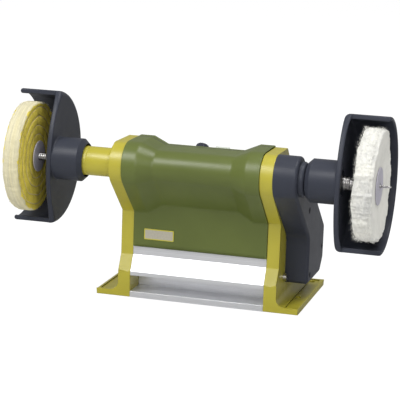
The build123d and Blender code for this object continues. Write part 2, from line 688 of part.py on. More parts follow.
# Guards -----------------------------------------------------------------------------------------
for name, side, guard_tilt in (("left_guard", -1, LEFT_GUARD_TILT), ("right_guard", 1, RIGHT_GUARD_TILT)):
    inner_x = side * GUARD_X
    with BuildPart() as guard:
        with BuildSketch(spindle_plane(inner_x, guard_tilt)):
            with BuildLine():
                Polyline((GUARD_BACK, -GUARD_R), (GUARD_LIP, -GUARD_R))
                ThreePointArc((GUARD_LIP, -GUARD_R), (-GUARD_BULGE, 0), (GUARD_LIP, GUARD_R))
                Polyline((GUARD_LIP, GUARD_R), (GUARD_BACK, GUARD_R))
                ThreePointArc((GUARD_BACK, GUARD_R), (GUARD_BACK + GUARD_R, 0), (GUARD_BACK, -GUARD_R))
            make_face()
        extrude(amount=side * GUARD_WALL)
        with BuildSketch(spindle_plane(inner_x, guard_tilt)):
            add(guard_outline(GUARD_R, GUARD_LIP))
            make_face()
            with BuildLine(mode=Mode.PRIVATE) as inside:
                add(guard_outline(GUARD_R - GUARD_WALL, GUARD_LIP - 1))
            make_face(inside.line.edges(), mode=Mode.SUBTRACT)
            for end in (-1, 1):
                Polygon(
                    (GUARD_LIP, end * GUARD_R), (GUARD_LIP + GUARD_BEAD_IN, end * (GUARD_R - GUARD_WALL / 2)),
                    (GUARD_LIP + GUARD_BEAD_IN, end * (GUARD_R - GUARD_WALL)),
                    (GUARD_LIP, end * (GUARD_R - GUARD_BEAD)), align=None,
                )
        extrude(amount=side * GUARD_W)
        with BuildSketch(spindle_plane(inner_x - side)):
            Circle(COLLAR_SPIGOT_R + SEAT)
        extrude(amount=side * 2 * GUARD_WALL, mode=Mode.SUBTRACT)
    guard.part.label = name
    export_step(guard.part, f"parts/{name}.step")

    wall_x = side * (GUARD_X + GUARD_WALL)
    shoulder_x = inner_x - side * SEAT
    with BuildPart() as guard_collar:
        with BuildSketch(SPINDLE_SIDE):
            Polygon(
                (side * (COLLAR_END + COLLAR_BEVEL), COLLAR_R), (shoulder_x, COLLAR_R),
                (shoulder_x, COLLAR_SPIGOT_R), (wall_x, COLLAR_SPIGOT_R), (wall_x, TUBE_R),
                (side * (COLLAR_END + COLLAR_MOUTH), TUBE_R),
                (side * (COLLAR_END + COLLAR_MOUTH), COLLAR_MOUTH_R),
                (side * COLLAR_END, COLLAR_MOUTH_R), (side * COLLAR_END, COLLAR_MOUTH_R + COLLAR_RIM),
            )
            Polygon(*ring_points(side * (TUBE_END + TUBE_CLEAR), wall_x, GUARD_HOLE_R, TUBE_R + 1))
        revolve(axis=SPINDLE_AXIS)
        with BuildSketch(spindle_plane(side * COLLAR_END)):
            Circle(TUBE_R + RUN)
        extrude(amount=side * (TUBE_END + TUBE_CLEAR - COLLAR_END), mode=Mode.SUBTRACT)
        with BuildSketch(Plane.XZ.offset(-SPINDLE_Y)):
            with Locations((side * (COLLAR_END + GUARD_X) / 2, SPINDLE_H)):
                Circle(GRUB_R)
        extrude(amount=-COLLAR_R - 1, mode=Mode.SUBTRACT)
    guard_collar.part.label = name + "_collar"
    export_step(guard_collar.part, f"parts/{name}_collar.step")

    with BuildPart() as guard_screw:
        with BuildSketch(Plane.XZ.offset(-SPINDLE_Y - TUBE_R - 2 * RUN)):
            with Locations((side * (COLLAR_END + GUARD_X) / 2, SPINDLE_H)):
                Circle(GRUB_R - SEAT)
        extrude(amount=-GRUB_L)
        with BuildSketch(Plane.XZ.offset(-SPINDLE_Y - COLLAR_R)):
            with Locations((side * (COLLAR_END + GUARD_X) / 2, SPINDLE_H)):
                RegularPolygon(GRUB_HEX_R, 6)
        extrude(amount=GRUB_HEX_DEPTH, mode=Mode.SUBTRACT)
    guard_screw.part.label = name + "_screw"
    export_step(guard_screw.part, f"parts/{name}_screw.step")

# Arbors, mops and washers -------------------------------------------------------------------------
for name, side, washer_r in (("left", -1, LEFT_WASHER_R), ("right", 1, RIGHT_WASHER_R)):
    with BuildPart() as arbor:
        with BuildSketch(SPINDLE_SIDE):
            with BuildLine():
                Polyline(
                    (side * ARBOR_ROOT, SHAFT_R + SEAT), (side * ARBOR_ROOT, ARBOR_ROOT_R),
                    (side * (ARBOR_NECK - ARBOR_SHOULDER), ARBOR_ROOT_R),
                    (side * ARBOR_NECK, ARBOR_NECK_R),
                    (side * ARBOR_TIP, ARBOR_TIP_R), (side * ARBOR_TIP, 0), (side * (SHAFT_END + SEAT), 0),
                    (side * (SHAFT_END + SEAT), SHAFT_R + SEAT), close=True,
                )
            make_face()
        revolve(axis=SPINDLE_AXIS)
        with BuildSketch(SPINDLE_SIDE):
            for ring in range(GRIP_COUNT):
                groove_x = side * (ARBOR_ROOT + GRIP_START + GRIP_PITCH * ring)
                Polygon(
                    (groove_x - GRIP_DEPTH, ARBOR_ROOT_R + SEAT),
                    (groove_x + GRIP_DEPTH, ARBOR_ROOT_R + SEAT),
                    (groove_x, ARBOR_ROOT_R - GRIP_DEPTH),
                )
        revolve(axis=SPINDLE_AXIS, mode=Mode.SUBTRACT)
    arbor.part.label = name + "_arbor"
    export_step(arbor.part, f"parts/{name}_arbor.step")

    mop_end = MOP_X + MOP_T
    with BuildPart() as mop:
        with BuildSketch(SPINDLE_SIDE):
            with BuildLine():
                Polyline(
                    (side * MOP_X, MOP_R - MOP_CROWN), (side * MOP_X, cone_radius(MOP_X) + SEAT),
                    (side * mop_end, cone_radius(mop_end) + SEAT), (side * mop_end, MOP_R - MOP_CROWN),
                )
                ThreePointArc(
                    (side * mop_end, MOP_R - MOP_CROWN), (side * (MOP_X + MOP_T / 2), MOP_R),
                    (side * MOP_X, MOP_R - MOP_CROWN),
                )
            make_face()
        revolve(axis=SPINDLE_AXIS)
    mop.part.label = name + "_mop"
    export_step(mop.part, f"parts/{name}_mop.step")

    with BuildPart() as washers:
        with BuildSketch(SPINDLE_SIDE):
            for start in (MOP_X - WASHER_T - SEAT, mop_end + SEAT):
                bore = cone_radius(start) + 2 * SEAT
                corners = ring_points(side * start, side * (start + WASHER_T), bore, washer_r)
                Polygon(*corners)
        revolve(axis=SPINDLE_AXIS)
    washers.part.label = name + "_mop_washers"
    export_step(washers.part, f"parts/{name}_mop_washers.step")

# Belt drive -------------------------------------------------------------------------------------
with BuildPart() as belt_cover:
    with BuildSketch(Plane.YZ.offset(FRAME_OUT + SEAT)):
        add(cover_outline(0))
    extrude(amount=COVER_W - SEAT)
    outer_face = belt_cover.faces().sort_by(Axis.X)[-1]
    fillet(outer_face.edges(), COVER_EDGE)
    with BuildSketch(Plane.YZ.offset(FRAME_OUT + SEAT)):
        add(cover_outline(COVER_WALL))
    extrude(amount=COVER_W - COVER_WALL - SEAT, mode=Mode.SUBTRACT)
    with BuildSketch(SPINDLE_SIDE):
        Polygon(
            (flange_x, 0), (flange_x, BOSS_R), (COVER_X + BOSS_L, BOSS_R),
            (COVER_X + BOSS_NECK_L, TUBE_R + BOSS_NECK_WALL), (COVER_X + BOSS_NECK_L, 0),
        )
    revolve(axis=SPINDLE_AXIS)
    with BuildSketch(spindle_plane(flange_x)):
        Circle(TUBE_R + SEAT)
    extrude(amount=2 * BOSS_NECK_L, mode=Mode.SUBTRACT)
    cover_screw_places = [
        (MOTOR_Y + COVER_BACK - COVER_BOSS_IN, COVER_LOW + 3 * COVER_BOSS_IN),
        (MOTOR_Y - COVER_FRONT + COVER_BOSS_IN, COVER_LOW + COVER_BOSS_IN),
        ((SPINDLE_Y + MOTOR_Y) / 2, (SPINDLE_H + MOTOR_H) / 2),
    ]
    with BuildSketch(Plane.YZ.offset(FRAME_OUT + SEAT)):
        with Locations(*cover_screw_places):
            Circle(COVER_BOSS_R)
    extrude(amount=COVER_W - COVER_WALL)
    with BuildSketch(Plane.YZ.offset(FRAME_OUT)):
        with Locations(*cover_screw_places):
            Circle(COVER_SCREW_R + SEAT)
    extrude(amount=COVER_W + 1, mode=Mode.SUBTRACT)
    with BuildSketch(Plane.YZ.offset(COVER_X - COVER_SCREW_SINK)):
        with Locations(*cover_screw_places):
            Circle(COVER_SCREW_HEAD_R + SEAT)
    extrude(amount=2 * COVER_SCREW_SINK, mode=Mode.SUBTRACT)
belt_cover.part.label = "belt_cover"
export_step(belt_cover.part, "parts/belt_cover.step")

with BuildPart() as cover_screws:
    with BuildSketch(Plane.YZ.offset(COVER_X - COVER_SCREW_SINK + SEAT)):
        with Locations(*cover_screw_places):
            Circle(COVER_SCREW_HEAD_R)
    extrude(amount=COVER_HEAD_H)
    with BuildSketch(Plane.YZ.offset(COVER_X - COVER_SCREW_SINK + COVER_HEAD_H + SEAT)):
        with Locations(*cover_screw_places):
            RegularPolygon(HEX_R, 6)
    extrude(amount=-COVER_HEX_DEPTH, mode=Mode.SUBTRACT)
    with BuildSketch(Plane.YZ.offset(FRAME_OUT + 2 * SEAT)):
        with Locations(*cover_screw_places):
            Circle(COVER_SCREW_R)
    extrude(amount=COVER_W - COVER_SCREW_SINK)
cover_screws.part.label = "cover_screws"
export_step(cover_screws.part, "parts/cover_screws.step")


def pulley_points(belt_r, bore_r):
    """Half section (x, radius) of a flanged pulley."""
    flange = (PULLEY_W - BELT_W - 2 * BELT_GAP) / 2
    rim = belt_r + BELT_T + PULLEY_FLANGE
    end = PULLEY_X + PULLEY_W
    return [
        (PULLEY_X, bore_r), (PULLEY_X, rim), (PULLEY_X + flange, rim), (PULLEY_X + flange, belt_r),
        (end - flange, belt_r), (end - flange, rim), (end, rim), (end, bore_r),
    ]


with BuildPart() as spindle_pulley:
    with BuildSketch(SPINDLE_SIDE):
        Polygon(*pulley_points(SPINDLE_PULLEY_R, SHAFT_R + SEAT))
    revolve(axis=SPINDLE_AXIS)
spindle_pulley.part.label = "spindle_pulley"
export_step(spindle_pulley.part, "parts/spindle_pulley.step")

with BuildPart() as motor_pulley:
    with BuildSketch(MOTOR_SIDE):
        Polygon(*pulley_points(MOTOR_PULLEY_R, MOTOR_SHAFT_R + SEAT))
    revolve(axis=MOTOR_AXIS)
motor_pulley.part.label = "motor_pulley"
export_step(motor_pulley.part, "parts/motor_pulley.step")


def belt_loop(growth):
    """Loop round both pulleys, growth outside the belt surface."""
    with BuildSketch(Plane.YZ.offset(PULLEY_X + (PULLEY_W - BELT_W) / 2)) as loop:
        with Locations((SPINDLE_Y, SPINDLE_H)):
            Circle(SPINDLE_PULLEY_R + growth)
        with Locations((MOTOR_Y, MOTOR_H)):
            Circle(MOTOR_PULLEY_R + growth)
        make_hull()
    return loop.sketch


with BuildPart() as drive_belt:
    extrude(belt_loop(BELT_GAP + BELT_T), amount=BELT_W)
    extrude(belt_loop(BELT_GAP), amount=BELT_W, mode=Mode.SUBTRACT)
drive_belt.part.label = "drive_belt"
export_step(drive_belt.part, "parts/drive_belt.step")

# Motor ------------------------------------------------------------------------------------------
drive_cap_x = FRAME_IN - MOTOR_CAP_T - SEAT
can_x = drive_cap_x - MOTOR_CAN_L
rear_cap_x = can_x - MOTOR_CAP_T
armature_x = can_x + COMMUTATOR_L + COIL_L + ARMATURE_GAP
commutator_x = armature_x - COIL_L - COMMUTATOR_L - COMMUTATOR_GAP

with BuildPart() as motor_can:
    with BuildSketch(MOTOR_SIDE):
        Polygon(*ring_points(can_x + SEAT, drive_cap_x - SEAT, MOTOR_R - MOTOR_CAN_T, MOTOR_R))
    revolve(axis=MOTOR_AXIS)
motor_can.part.label = "motor_can"
export_step(motor_can.part, "parts/motor_can.step")

with BuildPart() as motor_magnets:
    with BuildSketch(motor_plane(armature_x - (MAGNET_L - ARMATURE_L) / 2)):
        Circle(MOTOR_R - MOTOR_CAN_T - SEAT)
        Circle(MOTOR_R - MOTOR_CAN_T - MAGNET_T, mode=Mode.SUBTRACT)
        Rectangle(2 * MAGNET_CUT, 3 * MOTOR_R, mode=Mode.SUBTRACT)
    extrude(amount=MAGNET_L)
motor_magnets.part.label = "motor_magnets"
export_step(motor_magnets.part, "parts/motor_magnets.step")

for name, cap_x, spigot in (("motor_drive_cap", drive_cap_x, True), ("motor_rear_cap", rear_cap_x, False)):
    with BuildPart() as cap:
        with BuildSketch(motor_plane(cap_x)):
            Circle(MOTOR_R)
        extrude(amount=MOTOR_CAP_T)
        if spigot:
            with BuildSketch(motor_plane(cap_x)):
                Circle(MOTOR_SPIGOT_R - SEAT)
            extrude(amount=MOTOR_CAP_T + MOTOR_SPIGOT_L)
            with BuildSketch(motor_plane(cap_x)):
                with Locations((0, MOTOR_SCREW_PITCH), (0, -MOTOR_SCREW_PITCH)):
                    Circle(MOTOR_SCREW_R + SEAT)
            extrude(amount=MOTOR_CAP_T, mode=Mode.SUBTRACT)
            with BuildSketch(motor_plane(cap_x)):
                Circle(MOTOR_R - CAP_RIM)
            extrude(amount=CAP_WALL, mode=Mode.SUBTRACT)
        else:
            with BuildSketch(motor_plane(cap_x + CAP_WALL)):
                Circle(MOTOR_R - CAP_RIM)
            extrude(amount=MOTOR_CAP_T, mode=Mode.SUBTRACT)
            with BuildSketch(motor_plane(cap_x)):
                Circle(MOTOR_SPIGOT_R)
            extrude(amount=MOTOR_CAP_T - CAP_WALL)
        with BuildSketch(motor_plane(cap_x)):
            Circle(BUSH_R + SEAT)
        extrude(amount=MOTOR_CAP_T + MOTOR_SPIGOT_L, mode=Mode.SUBTRACT)
    cap.part.label = name
    export_step(cap.part, f"parts/{name}.step")

with BuildPart() as motor_bushes:
    with BuildSketch(MOTOR_SIDE):
        for start in (rear_cap_x, drive_cap_x + MOTOR_CAP_T - CAP_WALL):
            Polygon(*ring_points(start, start + BUSH_L, MOTOR_SHAFT_R + RUN, BUSH_R))
    revolve(axis=MOTOR_AXIS)
motor_bushes.part.label = "motor_bushes"
export_step(motor_bushes.part, "parts/motor_bushes.step")

with BuildPart() as motor_screws:
    with BuildSketch(motor_plane(FRAME_OUT + SEAT)):
        with Locations((0, MOTOR_SCREW_PITCH), (0, -MOTOR_SCREW_PITCH)):
            Circle(MOTOR_SCREW_HEAD_R)
    extrude(amount=MOTOR_SCREW_HEAD_H)
    with BuildSketch(motor_plane(FRAME_OUT + SEAT)):
        with Locations((0, MOTOR_SCREW_PITCH), (0, -MOTOR_SCREW_PITCH)):
            Circle(MOTOR_SCREW_R)
    extrude(amount=-(FRAME_T + MOTOR_SCREW_GRIP))
motor_screws.part.label = "motor_screws"
export_step(motor_screws.part, "parts/motor_screws.step")

fan_x = rear_cap_x - FAN_GAP - FAN_L
with BuildPart() as motor_shaft:
    with BuildSketch(MOTOR_SIDE):
        Polygon(*ring_points(fan_x - FAN_GAP, PULLEY_X + PULLEY_W + SHAFT_STUB, 0, MOTOR_SHAFT_R))
    revolve(axis=MOTOR_AXIS)
    chamfer(motor_shaft.edges().filter_by(GeomType.CIRCLE), SHAFT_CHAMFER)
motor_shaft.part.label = "motor_shaft"
export_step(motor_shaft.part, "parts/motor_shaft.step")

with BuildPart() as armature_core:
    with BuildSketch(motor_plane(armature_x)):
        Circle(ARMATURE_R)
        with PolarLocations(ARMATURE_R - SLOT_R / 4, SLOT_COUNT):
            Circle(SLOT_R, mode=Mode.SUBTRACT)
        Circle(MOTOR_SHAFT_R + SEAT, mode=Mode.SUBTRACT)
    extrude(amount=ARMATURE_L)
armature_core.part.label = "armature_core"
export_step(armature_core.part, "parts/armature_core.step")

with BuildPart() as armature_coils:
    with BuildSketch(MOTOR_SIDE):
        for start in (armature_x - COIL_L - SEAT, armature_x + ARMATURE_L + SEAT):
            Polygon(*ring_points(start, start + COIL_L, MOTOR_SHAFT_R + SEAT, COIL_R))
    revolve(axis=MOTOR_AXIS)
    fillet(armature_coils.edges().filter_by(GeomType.CIRCLE).group_by(SortBy.RADIUS)[-1], COIL_EDGE)
armature_coils.part.label = "armature_coils"
export_step(armature_coils.part, "parts/armature_coils.step")

with BuildPart() as commutator:
    with BuildSketch(MOTOR_SIDE):
        commutator_end = commutator_x + COMMUTATOR_L
        Polygon(*ring_points(commutator_x, commutator_end, MOTOR_SHAFT_R + SEAT, COMMUTATOR_R))
    revolve(axis=MOTOR_AXIS)
commutator.part.label = "commutator"
export_step(commutator.part, "parts/commutator.step")

brush_x = commutator_x + COMMUTATOR_L / 2
holder_end = MOTOR_R - MOTOR_CAN_T - 2 * SEAT
with BuildPart() as brush_holders:
    for side in (-1, 1):
        with BuildSketch(Plane.XY.offset(MOTOR_H + side * (COMMUTATOR_R + HOLDER_GAP))):
            with Locations((brush_x, MOTOR_Y)):
                Rectangle(BRUSH + 2 * HOLDER_WALL, BRUSH + 2 * HOLDER_WALL)
                Rectangle(BRUSH + 2 * RUN, BRUSH + 2 * RUN, mode=Mode.SUBTRACT)
        extrude(amount=side * (holder_end - COMMUTATOR_R - HOLDER_GAP - HOLDER_SAG))
brush_holders.part.label = "brush_holders"
export_step(brush_holders.part, "parts/brush_holders.step")

with BuildPart() as carbon_brushes:
    for side in (-1, 1):
        with BuildSketch(Plane.XY.offset(MOTOR_H + side * (COMMUTATOR_R + 2 * RUN))):
            with Locations((brush_x, MOTOR_Y)):
                Rectangle(BRUSH, BRUSH)
        extrude(amount=side * BRUSH_L)
carbon_brushes.part.label = "carbon_brushes"
export_step(carbon_brushes.part, "parts/carbon_brushes.step")

with BuildPart() as cooling_fan:
    with BuildSketch(motor_plane(fan_x)):
        Circle(FAN_HUB_R)
        Circle(MOTOR_SHAFT_R + SEAT, mode=Mode.SUBTRACT)
    extrude(amount=FAN_L)
    with BuildSketch(motor_plane(fan_x)):
        Circle(FAN_R)
        Circle(MOTOR_SHAFT_R + SEAT, mode=Mode.SUBTRACT)
    extrude(amount=FAN_DISC_T)
    with BuildSketch(motor_plane(fan_x)):
        with PolarLocations((FAN_R + FAN_HUB_R) / 2 - BLADE_T, FAN_BLADES):
            Rectangle(FAN_R - FAN_HUB_R, BLADE_T)
    extrude(amount=FAN_L)
cooling_fan.part.label = "cooling_fan"
export_step(cooling_fan.part, "parts/cooling_fan.step")

# Controls ---------------------------------------------------------------------------------------
with BuildPart() as dial_plate:
    with BuildSketch(slope_plane(KNOB_X, KNOB_DOWN, SEAT)):
        Circle(DIAL_R)
        Circle(POT_BUSH_R + SEAT, mode=Mode.SUBTRACT)
        with Locations((0, -KNOB_DOWN)):
            Rectangle(4 * DIAL_R, 2 * RIDGE_GAP, mode=Mode.SUBTRACT)
    extrude(amount=DIAL_T)
dial_plate.part.label = "dial_plate"
export_step(dial_plate.part, "parts/dial_plate.step")

with BuildPart() as potentiometer:
    with BuildSketch(slope_plane(KNOB_X, KNOB_DOWN, -HOUSING_WALL - SEAT)):
        Circle(POT_R)
    extrude(amount=-POT_L)
    with BuildSketch(slope_plane(KNOB_X, KNOB_DOWN, -HOUSING_WALL - SEAT)):
        Circle(POT_BUSH_R)
    extrude(amount=HOUSING_WALL + DIAL_T)
    with BuildSketch(slope_plane(KNOB_X, KNOB_DOWN, DIAL_T + SEAT)):
        Circle(POT_SHAFT_R + RUN)
    extrude(amount=-(HOUSING_WALL + DIAL_T + POT_L - POT_FLOOR), mode=Mode.SUBTRACT)
potentiometer.part.label = "potentiometer"
export_step(potentiometer.part, "parts/potentiometer.step")

with BuildPart() as potentiometer_shaft:
    with BuildSketch(slope_plane(KNOB_X, KNOB_DOWN, -HOUSING_WALL - POT_L + 2 * POT_FLOOR)):
        Circle(POT_SHAFT_R)
    extrude(amount=HOUSING_WALL + POT_L - 2 * POT_FLOOR + KNOB_H - KNOB_TOP)
potentiometer_shaft.part.label = "potentiometer_shaft"
export_step(potentiometer_shaft.part, "parts/potentiometer_shaft.step")

with BuildPart() as speed_knob:
    with BuildSketch(slope_plane(KNOB_X, KNOB_DOWN, DIAL_T + KNOB_GAP)):
        Circle(KNOB_R - KNOB_RIB_R)
        with PolarLocations(KNOB_R - KNOB_RIB_R, KNOB_RIBS):
            Circle(KNOB_RIB_R)
    extrude(amount=KNOB_H - DIAL_T - KNOB_GAP)
    with BuildSketch(slope_plane(KNOB_X, KNOB_DOWN, 0)):
        Circle(POT_SHAFT_R + SEAT)
    extrude(amount=KNOB_H - KNOB_TOP + SEAT, mode=Mode.SUBTRACT)
speed_knob.part.label = "speed_knob"
export_step(speed_knob.part, "parts/speed_knob.step")

rocker_plane = slope_plane(SWITCH_X, SWITCH_DOWN, 0)
cavity_half = hypot(ROCKER_HALF, ROCKER_RISE) + ROCKER_GAP
trunnion_side = Plane(origin=rocker_plane.origin, x_dir=rocker_plane.y_dir, z_dir=(1, 0, 0))
trunnion_reach = ROCKER_W / 2 + TRUNNION_L
with BuildPart() as switch_housing:
    with BuildSketch(slope_plane(SWITCH_X, SWITCH_DOWN, SEAT)):
        Rectangle(SWITCH_W + 2 * BEZEL, SWITCH_L + 2 * BEZEL)
    extrude(amount=BEZEL_T)
    with BuildSketch(slope_plane(SWITCH_X, SWITCH_DOWN, SEAT)):
        Rectangle(SWITCH_W, SWITCH_L)
    extrude(amount=-SWITCH_D)
    with BuildSketch(slope_plane(SWITCH_X, SWITCH_DOWN, BEZEL_T + 1)):
        Rectangle(ROCKER_W + 2 * ROCKER_GAP, 2 * cavity_half)
    extrude(amount=-BEZEL_T - SWITCH_HOLLOW, mode=Mode.SUBTRACT)
    with BuildSketch(trunnion_side):
        Circle(TRUNNION_R + RUN)
    extrude(amount=trunnion_reach + RUN, both=True, mode=Mode.SUBTRACT)
switch_housing.part.label = "switch_housing"
export_step(switch_housing.part, "parts/switch_housing.step")

rocker_turn = radians(ROCKER_TILT)
rocker_side = Plane(
    origin=rocker_plane.from_local_coords(Vector(-ROCKER_W / 2, 0, 0)),
    x_dir=rocker_plane.y_dir * cos(rocker_turn) + rocker_plane.z_dir * sin(rocker_turn),
    z_dir=(1, 0, 0),
)
with BuildPart() as power_rocker:
    with BuildSketch(rocker_side):
        with BuildLine():
            Polyline(
                (-ROCKER_HALF, 0), (-ROCKER_HALF, ROCKER_RISE), (0, ROCKER_DIP), (ROCKER_HALF, ROCKER_RISE),
                (ROCKER_HALF, 0),
            )
            ThreePointArc((ROCKER_HALF, 0), (0, -ROCKER_BELLY), (-ROCKER_HALF, 0))
        make_face()
    extrude(amount=ROCKER_W)
    with BuildSketch(trunnion_side):
        Circle(TRUNNION_R)
    extrude(amount=trunnion_reach, both=True)
power_rocker.part.label = "power_rocker"
export_step(power_rocker.part, "parts/power_rocker.step")

with BuildPart() as circuit_board:
    with BuildSketch(board_plane):
        Rectangle(BOARD_W, BOARD_L)
    extrude(amount=-BOARD_T)
    with BuildSketch(board_plane):
        with Locations((-BOARD_W / 4, 0), (-BOARD_W / 4, BLOCK_PITCH)):
            Rectangle(BLOCK_W, BLOCK_L)
    extrude(amount=BLOCK_H)
circuit_board.part.label = "circuit_board"
export_step(circuit_board.part, "parts/circuit_board.step")

gland_plane = Plane.XZ.offset(-(WAIST_REAR + HOUSING_PROUD + SEAT))
gland_place = (GLAND_X, HOUSING_LOW + GLAND_UP)
with BuildPart() as cord_gland:
    with BuildSketch(gland_plane):
        with Locations(gland_place):
            Circle(GLAND_FLANGE_R)
    extrude(amount=-GLAND_OUT)
    with BuildSketch(gland_plane):
        with Locations(gland_place):
            Circle(GLAND_R)
    extrude(amount=GLAND_IN)
    with BuildSketch(gland_plane):
        with Locations(gland_place):
            Circle(GLAND_BORE_R)
    extrude(amount=2 * GLAND_IN, both=True, mode=Mode.SUBTRACT)
cord_gland.part.label = "cord_gland"
export_step(cord_gland.part, "parts/cord_gland.step")

print("nodes", len([name for name in os.listdir("parts") if name.endswith(".step")]))
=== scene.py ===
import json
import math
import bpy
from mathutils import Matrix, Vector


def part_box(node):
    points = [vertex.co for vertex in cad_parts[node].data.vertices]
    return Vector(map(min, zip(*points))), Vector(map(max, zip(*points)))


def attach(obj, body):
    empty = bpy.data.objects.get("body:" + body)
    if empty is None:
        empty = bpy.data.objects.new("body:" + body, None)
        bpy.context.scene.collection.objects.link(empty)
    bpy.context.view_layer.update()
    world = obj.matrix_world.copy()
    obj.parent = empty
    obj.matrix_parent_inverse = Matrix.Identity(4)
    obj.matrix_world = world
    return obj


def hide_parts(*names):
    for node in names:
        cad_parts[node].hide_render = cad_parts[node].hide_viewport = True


bl_info = {
    "name": "Bench Polishing Lathe",
    "version": (1, 0, 0),
    "blender": (4, 5, 0),
    "location": "View3D > Sidebar > Polisher",
    "description": "Dresses the frame of a two-mop bench polishing lathe: surfaces, finishes and stage",
    "category": "Object",
}

import bmesh
import bpy
import numpy as np
from mathutils import Matrix, Vector

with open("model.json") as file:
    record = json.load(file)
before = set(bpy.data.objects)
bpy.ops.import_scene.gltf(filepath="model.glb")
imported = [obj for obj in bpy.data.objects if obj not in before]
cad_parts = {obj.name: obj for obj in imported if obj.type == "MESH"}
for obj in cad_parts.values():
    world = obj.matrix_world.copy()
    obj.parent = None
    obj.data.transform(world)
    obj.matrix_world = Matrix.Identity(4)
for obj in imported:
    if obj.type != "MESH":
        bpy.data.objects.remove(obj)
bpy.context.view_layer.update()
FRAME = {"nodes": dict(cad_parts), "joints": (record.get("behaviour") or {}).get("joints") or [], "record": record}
NODES = FRAME["nodes"]
JOINTS = {joint["name"]: joint for joint in FRAME["joints"]}
SPINDLE = np.array(JOINTS["spindle_spin"]["pos_m"])
MM = 0.001
DRESSED = "dressed_"
SIDES = (("left", -1), ("right", 1))

# Meshes: segments of a bevel, weld distances of the frame's copies and of own meshes in metres, the angle
# under which a copy's faces are merged, and the sharp angle in degrees that leaves no edge sharp
EDGE_STEPS = 3
FRAME_WELD, WELD = 2e-6, 1e-7
FLAT = math.radians(0.4)
ALL_SMOOTH = 180.0

# Guards: outline radius, how far behind the spindle the back arc's centre and the front's start are, how
# far the front bulges past the spindle, and how far each guard leans in degrees
GUARD_R, GUARD_BACK, GUARD_LIP, GUARD_BULGE = 59.7 * MM, 3.0 * MM, 1.2 * MM, 20.5 * MM
GUARD_LEAN = {"left": -5.7, "right": -7.3}

# Camera: angles in degrees, distance, target and clip range in metres, lens and sensor in millimetres
AZIMUTH, ELEVATION, ROLL = 15.6, 11.97, 2.08
DISTANCE = 1.4428
TARGET = (0.005, -0.0715, 0.0995)
LENS, SENSOR = 147.5, 36.0
CLIP = (0.05, 200.0)

# Lamps: name, place, aim, edge length in metres, watts
LAMPS = (
    ("key_light", (-0.75, -1.4, 1.7), (0, -0.05, 0.1), 0.9, 26.0),
    ("fill_light", (0.35, -1.8, 1.1), (0, -0.05, 0.1), 1.0, 10.0),
    ("top_light", (0.45, 0.0, 1.9), (0.05, 0, 0.1), 0.9, 16.0),
)

# World's light level, the floor's half size in metres, its glow, the share of the glow in what it shows,
# how much of that share mirrors see, and the glow's colour to the camera and to mirrors
WORLD_LEVEL = 0.34
FLOOR_REACH = 60.0
FLOOR_GLOW, FLOOR_SHARE, FLOOR_MIRRORED = 1.15, 0.82, 0.8
WHITE, DIM = (1.0, 1.0, 1.0), (0.16, 0.16, 0.16)


# Sizes and colours a user would change --------------------------------------------------------------


def length(name, text, default):
    """A length setting in metres."""
    return bpy.props.FloatProperty(name=name, description=text, default=default, min=0.0, unit="LENGTH")


def colour(name, text, default):
    """A linear colour setting."""
    return bpy.props.FloatVectorProperty(
        name=name, description=text, default=default, size=3, min=0.0, max=1.0, subtype="COLOR"
    )


class PolisherSizes(bpy.types.PropertyGroup):
    """Sizes of the surfaces that the frame leaves open."""

    casting_edge: length("Casting edge", "Rounding of the end frames' edges", 0.9 * MM)
    plastic_edge: length("Plastic edge", "Rounding of moulded edges", 0.5 * MM)
    section_edge: length("Section edge", "Rounding of the aluminium section's edges", 0.35 * MM)
    crease: length("Crease", "Half width of the soft creases of the housing", 1.3 * MM)
    valley: length("Valley", "Tangent length of the rounding under the barrel", 1.8 * MM)
    guard_corner: length("Guard corner", "Rounding between a guard's wall and rim", 5.0 * MM)
    guard_bead: length("Guard bead", "How much thicker a guard's front edge is", 1.4 * MM)
    thread_pitch: length("Thread pitch", "Pitch of the arbors' coarse thread", 1.9 * MM)
    thread_depth: length("Thread depth", "Depth of the arbors' coarse thread", 0.45 * MM)
    stitch_pitch: length("Stitch pitch", "Distance between the stitched rings of the left mop", 8.0 * MM)
    fray: length("Fray", "How far the right mop's cut edge is out of round", 2.8 * MM)
    flare: length("Flare", "How far the right mop's outer plies lean out at their edge", 3.6 * MM)
    strand: length("Strand", "Length of the loose threads at the mops' edges", 3.2 * MM)


class PolisherColours(bpy.types.PropertyGroup):
    """Colours of the finishes."""

    olive: colour("Olive paint", "End frames, feet and left tube", (0.44, 0.385, 0.032))
    green: colour("Green shell", "Housing", (0.106, 0.134, 0.026))
    black: colour("Black plastic", "Belt cover, guards and knob", (0.039, 0.043, 0.058))
    aluminium: colour("Aluminium", "Base section", (0.83, 0.835, 0.86))
    mop_gold: colour("Mop face", "Stitched faces of the left mop", (0.74, 0.60, 0.075))
    mop_straw: colour("Mop tread", "Cut edge of the left mop", (0.68, 0.63, 0.43))
    cotton: colour("Cotton", "Right mop", (0.88, 0.87, 0.80))
    washer: colour("Washer", "Mop washers", (0.60, 0.58, 0.66))
    steel: colour("Steel", "Arbors, shafts and screws", (0.62, 0.61, 0.60))


# Numpy surfaces -------------------------------------------------------------------------------------


def grid_faces(points, rows_close, columns_close):
    """Quads between neighbouring points of a grid of rows and columns, closing round where asked."""
    rows, columns = points.shape[:2]
    row = np.arange(rows if rows_close else rows - 1)[:, None]
    column = np.arange(columns if columns_close else columns - 1)[None, :]
    next_row = (row + 1) % rows
    next_column = (column + 1) % columns
    corners = (
        row * columns + column,
        row * columns + next_column,
        next_row * columns + next_column,
        next_row * columns + column,
    )
    return np.stack([c + 0 * (row + column) for c in corners], axis=-1).reshape(-1, 4)


